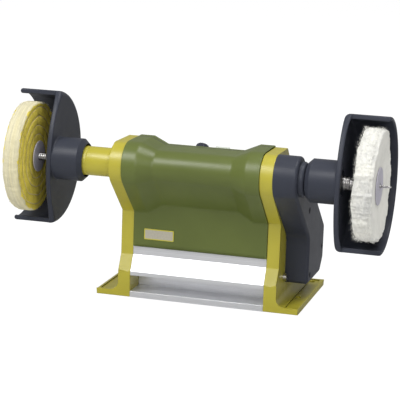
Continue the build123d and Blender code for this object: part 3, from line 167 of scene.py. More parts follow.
def add_piece(name, points, faces, body, replaced, slot, sharp=35.0):
    """Puts points and faces into a mesh object, welds doubles, points faces outwards and lets it ride."""
    mesh = bpy.data.meshes.new(name)
    mesh.from_pydata(np.asarray(points, float).reshape(-1, 3), [], np.asarray(faces).tolist())
    shape = bmesh.new()
    shape.from_mesh(mesh)
    bmesh.ops.remove_doubles(shape, verts=shape.verts, dist=WELD)
    bmesh.ops.dissolve_degenerate(shape, edges=shape.edges, dist=WELD)
    bmesh.ops.recalc_face_normals(shape, faces=shape.faces)
    shape.to_mesh(mesh)
    shape.free()
    return set_down(name, mesh, body, replaced, slot, sharp)


def set_down(name, mesh, body, replaced, slot, sharp):
    """Smooths a mesh up to the sharp angle, gives it its slot's finish and lets it ride on its body."""
    mesh.shade_smooth()
    mesh.set_sharp_from_angle(angle=math.radians(sharp))
    mesh.materials.clear()
    mesh.materials.append(finish_of(slot))
    piece = bpy.data.objects.new(name, mesh)
    bpy.context.scene.collection.objects.link(piece)
    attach(piece, body)
    if replaced:
        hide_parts(*replaced)
    return piece


def cast_copy(name, node, edge, body, slot, sharp=30.0):
    """Welded copy of a frame node whose sharp edges are rounded by a bevel of the given width; with no
    width only its shading is levelled."""
    mesh = NODES[node].data.copy()
    shape = bmesh.new()
    shape.from_mesh(mesh)
    bmesh.ops.remove_doubles(shape, verts=shape.verts, dist=FRAME_WELD)
    bmesh.ops.dissolve_limit(
        shape, angle_limit=FLAT, verts=shape.verts, edges=shape.edges, use_dissolve_boundaries=False
    )
    shape.to_mesh(mesh)
    shape.free()
    piece = set_down(name, mesh, body, (node,), slot, sharp)
    if edge:
        bevel = piece.modifiers.new("edges", "BEVEL")
        bevel.width = edge
        bevel.segments = EDGE_STEPS
        bevel.limit_method = "ANGLE"
        bevel.angle_limit = math.radians(sharp)
        bevel.use_clamp_overlap = False
        bevel.harden_normals = True
    else:
        level = piece.modifiers.new("level", "WEIGHTED_NORMAL")
        level.keep_sharp = True
    return piece


def round_spindle(x, radius, angle):
    """Points at places x along the spindle, with y = radius cos angle and z = radius sin angle from it."""
    x, radius, angle = np.broadcast_arrays(x, radius, angle)
    return np.stack([x, SPINDLE[1] + radius * np.cos(angle), SPINDLE[2] + radius * np.sin(angle)], axis=-1)


def full_turn(count):
    """Evenly spaced angles once round, in radians."""
    return np.linspace(0, 2 * math.pi, count, endpoint=False)


def turned(x, radius):
    """Points of a profile of places and radii, turned once about the spindle."""
    return round_spindle(x[:, None], radius[:, None], full_turn(96))


def bend(centre, radius, start, end, count):
    """Points of an arc: centre + radius (cos a, sin a), a in degrees from start to end."""
    angle = np.radians(np.linspace(start, end, count))
    return np.stack([centre[0] + radius * np.cos(angle), centre[1] + radius * np.sin(angle)], axis=-1)


def ripple(angle, seed, orders, amplitude):
    """Smooth noise that closes round: a sum of sines of whole orders with seeded phases and weights."""
    dice = np.random.default_rng(seed)
    phases = dice.uniform(0, 2 * math.pi, len(orders))
    weights = dice.uniform(0.5, 1.0, len(orders)) / np.sqrt(np.arange(1, len(orders) + 1))
    waves = sum(w * np.sin(order * angle + p) for order, p, w in zip(orders, phases, weights))
    return amplitude * waves / np.sum(weights)


# Finishes -------------------------------------------------------------------------------------------


class Wire:
    """One socket in a finish. Arithmetic on it adds Math nodes."""

    def __init__(self, finish, socket):
        self.finish = finish
        self.socket = socket

    def math(self, operation, *others):
        """Adds a Math node with this wire first and the other values after it."""
        inputs = dict(enumerate((self, *others)))
        return self.finish.node("ShaderNodeMath", {"operation": operation}, inputs)

    def math_after(self, operation, first):
        """Adds a Math node with another value first and this wire second."""
        return self.finish.node("ShaderNodeMath", {"operation": operation}, {0: first, 1: self})

    def __add__(self, other):
        return self.math("ADD", other)

    def __radd__(self, other):
        return self.math_after("ADD", other)

    def __sub__(self, other):
        return self.math("SUBTRACT", other)

    def __rsub__(self, other):
        return self.math_after("SUBTRACT", other)

    def __mul__(self, other):
        return self.math("MULTIPLY", other)

    def __rmul__(self, other):
        return self.math_after("MULTIPLY", other)

    def __truediv__(self, other):
        return self.math("DIVIDE", other)

    def __rtruediv__(self, other):
        return self.math_after("DIVIDE", other)

    def __gt__(self, other):
        return self.math("GREATER_THAN", other)

    def __lt__(self, other):
        return self.math("LESS_THAN", other)


class Finish:
    """A node material: one Principled shader and the patterns that feed it."""

    def __init__(self, name, **shader):
        self.material = bpy.data.materials.new(DRESSED + name)
        self.material.use_nodes = True
        self.tree = self.material.node_tree
        self.shader = self.tree.nodes["Principled BSDF"]
        for socket, value in shader.items():
            self.set(socket.replace("_", " ").title().replace("Ior", "IOR"), value)

    def node(self, kind, settings, inputs, output=0):
        """Adds one node: its settings first, then the values or links of its sockets."""
        made = self.tree.nodes.new(kind)
        for key, value in settings.items():
            setattr(made, key, value)
        for key, value in inputs.items():
            self.feed(made.inputs[key], value)
        return Wire(self, made.outputs[output])

    def feed(self, socket, value):
        """Links a wire to a socket, or sets the socket's value."""
        if isinstance(value, Wire):
            self.tree.links.new(value.socket, socket)
        else:
            if socket.type == "RGBA" and len(value) == 3:
                value = (*value, 1.0)
            socket.default_value = value

    def set(self, socket, value):
        """Feeds a named socket of the shader."""
        self.feed(self.shader.inputs[socket], value)

    def place(self):
        """Object coordinates, in metres."""
        return self.node("ShaderNodeTexCoord", {}, {}, "Object")

    def mapped(self, place, move=(0, 0, 0), scale=(1, 1, 1)):
        """Coordinates scaled along each axis and then moved."""
        return self.node("ShaderNodeMapping", {}, {"Vector": place, "Location": move, "Scale": scale})

    def noise(self, place, scale, detail=2.0, rough=0.5):
        """Cloudy noise from 0 to 1, with scale features in a metre."""
        inputs = {"Vector": place, "Scale": scale, "Detail": detail, "Roughness": rough}
        return self.node("ShaderNodeTexNoise", {}, inputs, "Fac")

    def between(self, value, low, high, to_low=0.0, to_high=1.0):
        """Maps a value from low..high to to_low..to_high, clamped."""
        inputs = {"Value": value, "From Min": low, "From Max": high, "To Min": to_low, "To Max": to_high}
        return self.node("ShaderNodeMapRange", {}, inputs)

    def mix(self, share, first, second):
        """Mixes two colours; the node's colour sockets are inputs 6 and 7 and output 2."""
        return self.node("ShaderNodeMix", {"data_type": "RGBA"}, {0: share, 6: first, 7: second}, 2)

    def bump(self, height, depth, strength=1.0):
        """Feeds a height pattern of the given depth in metres to the shader's normal."""
        inputs = {"Height": height, "Distance": depth, "Strength": strength}
        self.set("Normal", self.node("ShaderNodeBump", {}, inputs))

    def attribute(self, name):
        """A number that the mesh carries on its points."""
        return self.node("ShaderNodeAttribute", {"attribute_name": name}, {}, "Fac")

    def axes(self, place):
        """The three numbers of a vector."""
        split = self.node("ShaderNodeSeparateXYZ", {}, {"Vector": place}).socket.node
        return [Wire(self, output) for output in split.outputs]


def shade(tone, factor):
    """A colour made lighter or darker by a factor."""
    return tuple(min(1.0, channel * factor) for channel in tone)


def mixed(first, second, share):
    """A colour part of the way from the first to the second."""
    return tuple(a + (b - a) * share for a, b in zip(first, second))


def paint_finish(name, tone, gloss):
    """Powder paint: orange-peel bump, faint cloudiness and thin dull patches."""
    made = Finish(name, roughness=gloss, coat_weight=0.25, coat_roughness=0.28)
    place = made.place()
    cloud = made.between(made.noise(place, 28.0, 3.0), 0.35, 0.65)
    made.set("Base Color", made.mix(cloud, shade(tone, 0.94), shade(tone, 1.05)))
    peel = made.noise(place, 950.0, 2.0)
    made.set("Roughness", made.between(made.noise(place, 160.0, 4.0), 0.3, 0.7, gloss - 0.05, gloss + 0.08))
    made.bump(peel, 0.00009)
    return made.material


def plastic_finish(name, tone, gloss, grain=1500.0, depth=0.00005, shine=0.5):
    """Moulded plastic: spark-eroded grain and a little uneven gloss; shine is the specular level."""
    made = Finish(name, roughness=gloss, specular_ior_level=shine)
    place = made.place()
    cloud = made.between(made.noise(place, 20.0, 3.0), 0.3, 0.7)
    made.set("Base Color", made.mix(cloud, shade(tone, 0.93), shade(tone, 1.08)))
    made.set("Roughness", made.between(made.noise(place, 90.0, 4.0), 0.3, 0.7, gloss - 0.02, gloss + 0.03))
    made.bump(made.noise(place, grain, 3.0, 0.6), depth)
    return made.material


def drawn_finish(name, tone, gloss, metal):
    """Drawn or extruded metal: fine lines along X in tone, gloss and height."""
    made = Finish(name, roughness=gloss, metallic=metal)
    place = made.mapped(made.place(), scale=(1.2, 900.0, 900.0))
    lines = made.noise(place, 1.0, 4.0, 0.65)
    made.set("Base Color", made.mix(made.between(lines, 0.3, 0.7), shade(tone, 0.93), shade(tone, 1.05)))
    made.set("Roughness", made.between(lines, 0.3, 0.7, gloss - 0.05, gloss + 0.09))
    made.bump(lines, 0.00002)
    return made.material


def turned_finish(name, tone, gloss, metal=1.0):
    """Turned metal: fine rings across X, which is the axis of every shaft."""
    made = Finish(name, roughness=gloss, metallic=metal)
    place = made.mapped(made.place(), scale=(1800.0, 20.0, 20.0))
    rings = made.noise(place, 1.0, 3.0, 0.6)
    made.set("Base Color", made.mix(made.between(rings, 0.3, 0.7), shade(tone, 0.9), shade(tone, 1.08)))
    made.set("Roughness", made.between(rings, 0.3, 0.7, gloss - 0.06, gloss + 0.1))
    made.bump(rings, 0.00001)
    return made.material


def speckled_finish(name, tone, other, gloss, scale, metal=0.0):
    """Grainy stock, such as felt, rubber or ferrite: two tones in speckles with a bump of the same grain."""
    made = Finish(name, roughness=gloss, metallic=metal)
    place = made.place()
    grain = made.noise(place, scale, 5.0, 0.7)
    made.set("Base Color", made.mix(made.between(grain, 0.4, 0.6), tone, other))
    made.set("Roughness", made.between(grain, 0.3, 0.7, gloss - 0.08, gloss + 0.08))
    made.bump(grain, 0.0001)
    return made.material


def mop_radius(made, place):
    """Distance from the spindle axis, and the angle round it in turns."""
    _, y, z = made.axes(made.mapped(place, move=(0, -SPINDLE[1], -SPINDLE[2])))
    return (y * y + z * z).math("SQRT"), z.math("ARCTAN2", y) / (2 * math.pi)


def stitched_finish(name, face, tread, pitch):
    """Impregnated cloth: golden faces with dashed stitch rings, painted fold shadows, painted shade in the stitch
    grooves and painted highlights on the raised creases, and a pale cut tread of fine plies.
    A ring lies where the radius, which wanders, is half a pitch past a whole number of pitches, and its
    dashes are where the turn times the stitch count has a small fraction. The tread attribute is 0.5 at
    the border of face and tread, and runs to 0 and 1 within 3 mm of it."""
    stitches, dash, thread_tone = 118.0, 0.62, (0.80, 0.64, 0.46)
    made = Finish(name, roughness=0.9)
    place = made.place()
    radius, turn = mop_radius(made, place)
    wander = radius + (made.noise(place, 55.0, 3.0) - 0.5) * (5.0 * MM)
    off = ((wander / pitch).math("FRACT") - 0.5).math("ABSOLUTE")
    groove = made.between(off, 0.0, 0.14, 1.0, 0.0)
    line = made.between(off, 0.045, 0.075, 1.0, 0.0)
    stitch = ((turn * stitches).math("FRACT") < dash) * line
    cloth = made.noise(place, 900.0, 4.0, 0.7)
    fold_bump_and_shade = made.between(made.noise(place, 55.0, 3.0, 0.6), 0.38, 0.6)
    crease_bump_and_highlight = made.between(made.noise(place, 190.0, 4.0, 0.65), 0.4, 0.58)
    # Painted fold shadow: the face darkens to 0.7 where the fold noise, which also raises the bump, sinks
    base = made.mix(fold_bump_and_shade, shade(face, 0.7), face)
    # Painted highlight: the face lightens along the creases, which the bump also raises
    base = made.mix(crease_bump_and_highlight * 0.4, base, shade(face, 1.3))
    # Painted shade: the face darkens to 0.55 in the stitch grooves, which the bump sinks
    base = made.mix(groove * 0.35, base, shade(face, 0.55))
    base = made.mix(made.between(cloth, 0.35, 0.65) * 0.25, base, shade(face, 1.4))
    base = made.mix(stitch * 0.75, base, thread_tone)
    plies = made.noise(made.mapped(place, scale=(900.0, 40.0, 40.0)), 1.0, 3.0, 0.6)
    bands = made.noise(made.mapped(place, scale=(260.0, 14.0, 14.0)), 1.0, 2.0, 0.5)
    cut = made.mix(made.between(plies, 0.35, 0.65), shade(tread, 0.8), shade(tread, 1.08))
    cut = made.mix(made.between(bands, 0.42, 0.6) * 0.3, cut, mixed(tread, face, 0.3))
    share = made.attribute("tread")
    teeth = (made.noise(place, 120.0, 2.0) - 0.5) * 1.1 + (made.noise(place, 420.0, 2.0) - 0.5) * 0.4
    made.set("Base Color", made.mix(made.between(share + teeth, 0.46, 0.54), base, cut))
    weave = made.noise(made.mapped(place, scale=(500.0, 1800.0, 1800.0)), 1.0, 3.0, 0.7)
    made.bump(weave * 0.5 + fold_bump_and_shade + crease_bump_and_highlight * 0.5 + groove * -1.0, 0.0006, 0.8)
    return made.material


def cotton_finish(name, tone):
    """Loose cotton plies: soft fibres, faint folds with painted shade in their valleys, a creamy face that is also
    darkened as painted shade, and a whiter cut tread.
    """
    made = Finish(name, roughness=0.95, sheen_weight=0.12, sheen_roughness=0.6)
    place = made.place()
    fold_bump_and_shade = made.noise(place, 45.0, 4.0, 0.6)
    fibres = made.noise(made.mapped(place, scale=(420.0, 150.0, 150.0)), 1.0, 4.0, 0.65)
    threads = made.noise(place, 1400.0, 3.0, 0.7)
    share = made.attribute("tread")
    edge = made.between(share + (made.noise(place, 150.0, 2.0) - 0.5) * 0.9, 0.35, 0.65)
    cream = (0.85, 0.85, 0.83)
    # Face: a creamy tone of its own, and darkened to 0.7 as painted shade of the side turned from the key light
    base = made.mix(edge, tone, shade(mixed(tone, cream, 0.7), 0.7))
    # Painted fold shadow: darker where the folds, which the bump also raises, sink
    base = made.mix(made.between(fold_bump_and_shade, 0.36, 0.64), shade(tone, 0.88), base)
    base = made.mix(made.between(fibres, 0.45, 0.62) * 0.35, base, shade(tone, 1.08))
    made.set("Base Color", base)
    made.bump(fibres * 0.7 + fold_bump_and_shade * 1.2 + threads * 0.25, 0.0005, 0.5)
    return made.material


def label_finish(name, tone):
    """Bare film label: pale field with a thin yellow border."""
    made = Finish(name, roughness=0.3, coat_weight=0.3)
    low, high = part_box("blank_label")
    middle = (low + high) / 2
    x, _, z = made.axes(made.mapped(made.place(), move=(-middle.x, 0, -middle.z)))
    border = 1.0 * MM
    at_end = x.math("ABSOLUTE") > (high.x - low.x) / 2 - border
    at_top = z.math("ABSOLUTE") > (high.z - low.z) / 2 - border
    print_grain = made.between(made.noise(made.place(), 700.0, 2.0), 0.3, 0.7)
    field = made.mix(print_grain, (0.40, 0.375, 0.30), (0.45, 0.42, 0.34))
    made.set("Base Color", made.mix((at_end + at_top).math("MINIMUM", 1.0), field, tone))
    made.bump(made.noise(made.place(), 900.0, 2.0), 0.00003)
    return made.material


def make_finishes(colours, pitch):
    """All finishes, by the record's material slot; pitch is that of the stitched rings. Each row holds
    the function that makes the finish and what it takes after the name."""
    steel, black = tuple(colours.steel), tuple(colours.black)
    kinds = {
        "olive_paint": (paint_finish, tuple(colours.olive), 0.36),
        "green_shell": (plastic_finish, tuple(colours.green), 0.36, 1300.0, 0.00004),
        "black_plastic": (plastic_finish, black, 0.36, 1500.0, 0.00005, 0.2),
        "red_plastic": (plastic_finish, (0.45, 0.02, 0.02), 0.25, 900.0, 0.00002),
        "grey_plastic": (plastic_finish, (0.55, 0.58, 0.52), 0.35),
        "dial_film": (plastic_finish, (0.50, 0.52, 0.50), 0.45),
        "anodised_aluminium": (drawn_finish, tuple(colours.aluminium), 0.36, 0.7),
        "die_cast": (speckled_finish, (0.5, 0.5, 0.51), (0.62, 0.62, 0.63), 0.5, 500.0, 1.0),
        "bright_steel": (turned_finish, steel, 0.24),
        "zinc_steel": (turned_finish, shade(steel, 0.9), 0.36),
        "dark_steel": (turned_finish, (0.09, 0.09, 0.10), 0.42),
        "brass": (turned_finish, (0.62, 0.42, 0.17), 0.32),
        "copper_coils": (turned_finish, (0.55, 0.22, 0.09), 0.38),
        "lamination_steel": (turned_finish, (0.36, 0.36, 0.38), 0.46),
        "carbon": (speckled_finish, (0.03, 0.03, 0.03), (0.07, 0.07, 0.07), 0.7, 900.0),
        "ferrite": (speckled_finish, (0.06, 0.06, 0.07), (0.12, 0.12, 0.13), 0.6, 700.0),
        "belt_rubber": (speckled_finish, (0.02, 0.02, 0.02), (0.05, 0.05, 0.05), 0.75, 800.0),
        "felt": (speckled_finish, (0.3, 0.29, 0.27), (0.5, 0.49, 0.46), 0.95, 1400.0),
        "board_laminate": (speckled_finish, (0.02, 0.13, 0.05), (0.04, 0.2, 0.08), 0.4, 300.0),
        "washer_card": (turned_finish, tuple(colours.washer), 0.42, 0.3),
        "yellow_cloth": (stitched_finish, tuple(colours.mop_gold), tuple(colours.mop_straw), pitch),
        "white_cotton": (cotton_finish, tuple(colours.cotton)),
        "label_film": (label_finish, (0.52, 0.47, 0.05)),
    }
    return {slot: make(slot, *values) for slot, (make, *values) in kinds.items()}


def finish_of(slot):
    """The finish made for a slot; the frame's own plain materials carry the bare slot names."""
    return bpy.data.materials[DRESSED + slot]


# Pieces ---------------------------------------------------------------------------------------------


def soft_ramp(distance, start, end, soft):
    """0 before start, 1 after end, straight between; both corners rounded by averaging over +-soft."""
    shifts = np.linspace(-soft, soft, 11)
    shares = [(distance + shift - start) / (end - start) for shift in shifts]
    return np.mean(np.clip(shares, 0, 1), axis=0)


def crowded(start, end, count, places, reach):
    """Sample places from start to end, with extra ones within reach of each named place."""
    extra = [np.linspace(place - reach, place + reach, 9) for place in places]
    samples = np.concatenate([np.linspace(start, end, count), *extra])
    return np.unique(np.clip(np.round(samples, 7), start, end))


def front_shell(sizes):
    """Front half of the housing. Each cut across X is: upright panel, rounded valley, slanted underside,
    arc round the spindle, flat top. The barrel's radius is the head's less a soft drop between shoulders."""
    low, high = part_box("front_housing")
    reach = high.x
    head = SPINDLE[1] - low.y
    panel_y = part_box("blank_label")[1].y
    slant_degrees = 42.0
    slant = math.radians(slant_degrees)
    drop_most = 6.0 * MM
    shoulder = reach - 13.0 * MM
    barrel = shoulder - 14.0 * MM
    rim, rim_inset = 0.6 * MM, 0.45 * MM
    x = crowded(-reach, reach, 41, (-shoulder, -barrel, barrel, shoulder), 1.6 * sizes.crease)
    rims = rim * np.linspace(0, 1, 6)
    x = np.unique(np.concatenate([x, reach - rim + rims, -reach + rims]))
    drop = drop_most * soft_ramp(-np.abs(x), -shoulder, -barrel, sizes.crease)
    roll = np.clip((np.abs(x) - reach + rim) / rim, 0, 1)
    inset = rim_inset * (1 - np.sqrt(1 - roll**2))
    radius = head - drop - inset
    under_y = SPINDLE[1] - radius * math.sin(slant)
    under_z = SPINDLE[2] - radius * math.cos(slant)
    front = panel_y + inset
    knee_z = under_z - (front - under_y) * math.tan(slant)
    cut = []
    for share in np.linspace(0, 1, 10)[:-1]:
        cut.append((front, low.z + (knee_z - sizes.valley - low.z) * share))
    for share in np.linspace(0, 1, 9):
        y = front + share**2 * -sizes.valley * math.cos(slant)
        z = knee_z - (1 - share) ** 2 * sizes.valley + share**2 * sizes.valley * math.sin(slant)
        cut.append((y, z))
    start_y = front - sizes.valley * math.cos(slant)
    start_z = knee_z + sizes.valley * math.sin(slant)
    for share in np.linspace(0, 1, 6)[1:-1]:
        cut.append((start_y + (under_y - start_y) * share, start_z + (under_z - start_z) * share))
    for turn in np.radians(np.linspace(slant_degrees, 180.0, 36)):
        cut.append((SPINDLE[1] - radius * math.sin(turn), SPINDLE[2] - radius * math.cos(turn)))
    for share in np.linspace(0, 1, 6)[1:]:
        cut.append((SPINDLE[1] + (high.y - SPINDLE[1]) * share + 0 * x, SPINDLE[2] + radius))
    y = np.array([pair[0] for pair in cut])
    z = np.array([pair[1] for pair in cut])
    return np.stack([np.broadcast_to(x, y.shape), y, z], axis=-1)


class POLISHER_OT_housing(bpy.types.Operator):
    """Make the green housing's two halves and its bare label"""

    bl_idname = "polisher.housing"
    bl_label = "Housing"

    def execute(self, context):
        sizes = context.scene.polisher_sizes
        points = front_shell(sizes)
        faces = grid_faces(points, False, False)
        nodes = ("front_housing",)
        front = add_piece("front_housing_shell", points, faces, "machine", nodes, "green_shell")
        if front.data.polygons[0].normal.y > 0:
            front.data.flip_normals()
        wall = front.modifiers.new("wall", "SOLIDIFY")
        wall.thickness = 2.4 * MM
        wall.offset = -1.0
        cast_copy("rear_housing_shell", "rear_housing", 0.35 * MM, "machine", "green_shell", 28.0)
        cast_copy("label_plate", "blank_label", 0.2 * MM, "machine", "label_film")
        return {"FINISHED"}


class POLISHER_OT_base(bpy.types.Operator):
    """Make the end frames and the aluminium base section"""

    bl_idname = "polisher.base"
    bl_label = "Base"

    def execute(self, context):
        sizes = context.scene.polisher_sizes
        for node in ("left_end_frame", "right_end_frame"):
            casting = cast_copy(node + "_casting", node, sizes.casting_edge, "machine", "olive_paint", 20.0)
            casting.modifiers["edges"].offset_type = "ABSOLUTE"
        edge = sizes.section_edge
        cast_copy("base_extrusion", "base_section", edge, "machine", "anodised_aluminium", 12.0)
        return {"FINISHED"}


class POLISHER_OT_tubes(bpy.types.Operator):
    """Make the spindle tube, the sleeve and the belt cover"""

    bl_idname = "polisher.tubes"
    bl_label = "Tubes and cover"

    def execute(self, context):
        edge = 0.3 * MM
        cast_copy("spindle_tube", "left_spindle_tube", edge, "machine", "olive_paint")
        cast_copy("spindle_sleeve", "right_spindle_sleeve", edge, "machine", "black_plastic")
        cast_copy("belt_cover_shell", "belt_cover", 0, "machine", "black_plastic", 40.0)
        return {"FINISHED"}


def guard_reach(angle):
    """Distance from the spindle to the guard's outline at an angle from the back, in metres, for three
    stretches: the back arc, the short straights, and the shallow arc of the bulging front."""
    slack = 1e-9
    back, up = np.cos(angle), np.sin(angle)
    arc = GUARD_BACK * back + np.sqrt(GUARD_R**2 - (GUARD_BACK * up) ** 2)
    straight = GUARD_R / np.maximum(np.abs(up), 1e-6)
    centre = (GUARD_R**2 + GUARD_LIP**2 - GUARD_BULGE**2) / (2 * (GUARD_LIP + GUARD_BULGE))
    radius = centre + GUARD_BULGE
    front = centre * back + np.sqrt((centre * back) ** 2 + radius**2 - centre**2)
    reach = np.where(straight * np.abs(back) < GUARD_BACK, straight, arc)
    return np.where(back * straight < GUARD_LIP - slack, front, np.where(back > 0, reach, front))


def guard_points(side, lean, sizes):
    """A guard as one closed surface: round the spindle by angle, and across it from the collar's mouth
    over the wall, the corner, the rim and its lip, and back inside to the bore. The rim ends in a thicker
    bead, and so does the wall's bulging front, whose corner fades out beyond the rim; near is the distance
    behind the rim's front edge. rise is 1 where there is a rim."""
    wall_x, wall, width = 128.3 * MM, 3.0 * MM, 40.4 * MM
    small, gap, bead_reach, lift, front_curl = 1.2 * MM, 0.02 * MM, 2.2 * MM, 2.2 * MM, 1.3 * MM
    rim_count, front_count = 60, 44
    last_spread, just_past, next_past, fade = 0.12, 0.0004, 0.008, 0.1
    edge = math.atan2(GUARD_R, GUARD_LIP)
    near = np.array([6.0, 4.4, 3.4, 2.8, 2.2, 1.6, 1.2, 0.9, 0.6, 0.4, 0.24, 0.12, 0.04, 0.0]) * MM
    half = np.concatenate([np.linspace(0, edge - last_spread, rim_count), edge - near / GUARD_R])
    past = np.concatenate([[edge + just_past], np.linspace(edge + next_past, math.pi, front_count)])
    rise = np.concatenate([np.ones(len(half)), np.zeros(len(past))])
    before, after = np.zeros(rim_count), np.zeros(len(past))
    lost = small - np.sqrt(np.maximum(small**2 - np.maximum(small - near, 0) ** 2, 0))
    round_off = np.concatenate([before, lost, after])
    bead = np.concatenate([before, np.clip(1.5 - near / bead_reach, 0, 1), after])
    half = np.concatenate([half, past])
    angle = np.concatenate([half, -half[-2:0:-1]])
    rise, round_off, bead = [np.concatenate([row, row[-2:0:-1]]) for row in (rise, round_off, bead)]

    outline = guard_reach(angle)
    reach = outline - round_off
    inside = outline - np.where(rise > 0, wall + bead * sizes.guard_bead, 1.3 * wall) + round_off
    curl = np.where(rise > 0, (reach - inside) / 2 - gap, front_curl)
    hook = np.where(rise > 0, 1.0, np.exp((edge - np.abs(angle)) / fade))
    corner_r = small + hook * (sizes.guard_corner - small)
    inner_r = rise * 3.0 * MM
    past_wall = np.where(rise > 0, width - wall, sizes.guard_bead + hook * lift)
    end = wall_x + wall + past_wall - round_off

    collar, mouth, bore, hole, lip = 19.2 * MM, 14.6 * MM, 13.06 * MM, 11.0 * MM, 0.8 * MM
    start, bevel, deep, seat, chamfer = 101.0 * MM, 4.0 * MM, 106.0 * MM, 129.0 * MM, 0.4 * MM
    line = [(start, mouth), (start, mouth + lip), (start + bevel, collar), (wall_x - small, collar)]
    for turn in np.radians(np.linspace(0, 90, 5))[1:]:
        out = np.maximum(np.minimum(small, reach - corner_r - collar - gap), 0)
        line.append((wall_x - small + small * math.sin(turn), collar + out * (1 - math.cos(turn))))
    for share in (0.3, 0.6, 0.85):
        first = line[-1][1]
        line.append((wall_x, first + (reach - corner_r - first) * share))
    for turn in np.radians(np.linspace(0, 90, 8)):
        line.append((wall_x + corner_r * (1 - math.cos(turn)), reach - corner_r + corner_r * math.sin(turn)))
    for share in (0.25, 0.5, 0.75):
        first = wall_x + corner_r
        line.append((first + (end - curl - first) * share, reach))
    for middle, turns in ((reach - curl, (0, 90)), (inside + curl, (90, 180))):
        for turn in np.radians(np.linspace(*turns, 6)):
            line.append((end - curl + curl * math.sin(turn), middle + curl * math.cos(turn)))
    for share in (0.35, 0.7):
        last = wall_x + wall + inner_r
        line.append((end - curl + (last - end + curl) * share, inside))
    for turn in np.radians(np.linspace(0, 90, 6)):
        line.append((wall_x + wall + inner_r * (1 - math.sin(turn)), inside - inner_r * (1 - math.cos(turn))))
    for share in (0.3, 0.6):
        line.append((wall_x + wall, inside - inner_r + (hole - inside + inner_r) * share))
    line += [(wall_x + wall, hole + chamfer), (wall_x + wall - chamfer, hole), (seat, hole)]
    line += [(seat, bore), (deep, bore), (deep, mouth)]
    x = np.array([pair[0] + 0 * angle for pair in line])
    radius = np.array([pair[1] + 0 * angle for pair in line])
    return round_spindle(side * x, radius, angle + math.radians(lean))


class POLISHER_OT_guards(bpy.types.Operator):
    """Make both swivelling guards"""

    bl_idname = "polisher.guards"
    bl_label = "Guards"

    def execute(self, context):
        for hand, side in SIDES:
            name = hand + "_guard"
            points = guard_points(side, GUARD_LEAN[hand], context.scene.polisher_sizes)
            faces = grid_faces(points, True, True)
            nodes = (name, name + "_collar")
            add_piece(name + "_shell", points, faces, name, nodes, "black_plastic", 38.0)
        return {"FINISHED"}


def mop_points(side, sizes, seed, stitched):
    """A mop as one closed ring: round the spindle by angle, across it over both faces and the tread. Its
    tread is the edge's radius less a sink, plus a crown of that height. Stitched: faces swell between the
    rings. Loose: the edge and the faces wander with the angle, and the plies' edges with each layer."""
    low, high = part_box("left_mop" if side < 0 else "right_mop")
    near, far = sorted((abs(low.x), abs(high.x)))
    outer = (high.z - low.z) / 2
    angle = full_turn(360)
    bore = 4.0 * MM
    face = np.linspace(0, 1, 46)[:, None]
    if stitched:
        sink, layers, power = 1.2 * MM, 18, 6
        edge = outer - 0.7 * MM + ripple(angle, seed, (3, 5, 9, 17, 31, 47), 0.7 * MM)
    else:
        sink, layers, power = 1.6 * MM, 22, 4
        edge = outer - sizes.fray * 0.8 + ripple(angle, seed, (2, 3, 5, 8, 13, 21, 34), sizes.fray)
        edge = edge + ripple(angle, seed + 5, (41, 57, 73, 89, 113), 0.8 * MM)
    radius = bore + face * (edge - sink - bore)
    cross = np.linspace(0, 1, layers)[:, None]
    tread_r = edge - sink + sink * (1 - (2 * cross - 1) ** power)
    if stitched:
        flat, blend = 14.0 * MM, 6.0 * MM
        wave = np.abs(np.sin(math.pi * (radius / sizes.stitch_pitch + 0.5)))
        swell = 0.7 * MM * np.sqrt(wave) + ripple(angle, seed + 1, (4, 7, 11, 19), 0.3 * MM)
        inward = 1.0 * MM - swell * np.clip((radius - flat) / blend, 0, 1)
        first_x, last_x = near + inward, far - inward
    else:
        flat = 15.0 * MM
        share = np.clip((radius - flat) / (outer - flat), 0, 1)
        fold = ripple(angle, seed + 2, (3, 5, 7, 12, 18), 1.2 * MM)
        inward = share * (fold + 0.4 * MM) + 0.3 * MM
        first_x = near + inward + share * ripple(angle, seed + 3, (23, 37, 51), 0.4 * MM)
        fold = ripple(angle, seed + 4, (2, 4, 6, 11, 17), 1.4 * MM)
        last_x = far - 0.3 * MM + share**1.4 * (sizes.flare + fold)
        orders = (5, 9, 14, 22, 33, 47, 61, 79, 97)
        layer = np.random.default_rng(seed + 9).uniform(-1, 1, (layers, len(orders)))
        layer = layer.T[:, :, None]
        waves = sum(row * np.sin(order * angle + 7 * row) for order, row in zip(orders, layer))
        tread_r = tread_r + 0.35 * MM * waves * np.sin(math.pi * cross) ** 0.3
    depth = last_x[-1] - first_x[-1]
    tread_x = first_x[-1] + cross * depth
    x = np.concatenate([first_x, tread_x[1:-1], last_x[::-1]])
    r = np.concatenate([radius, tread_r[1:-1], radius[::-1]])
    border = 6.0 * MM
    inwards = (radius - radius[-1]) / border
    across = np.minimum(cross, 1 - cross) * depth / border
    tread = 0.5 + np.concatenate([inwards, across[1:-1], inwards[::-1]])
    return round_spindle(side * x, r, angle), np.clip(tread, 0, 1), edge, (near, far)


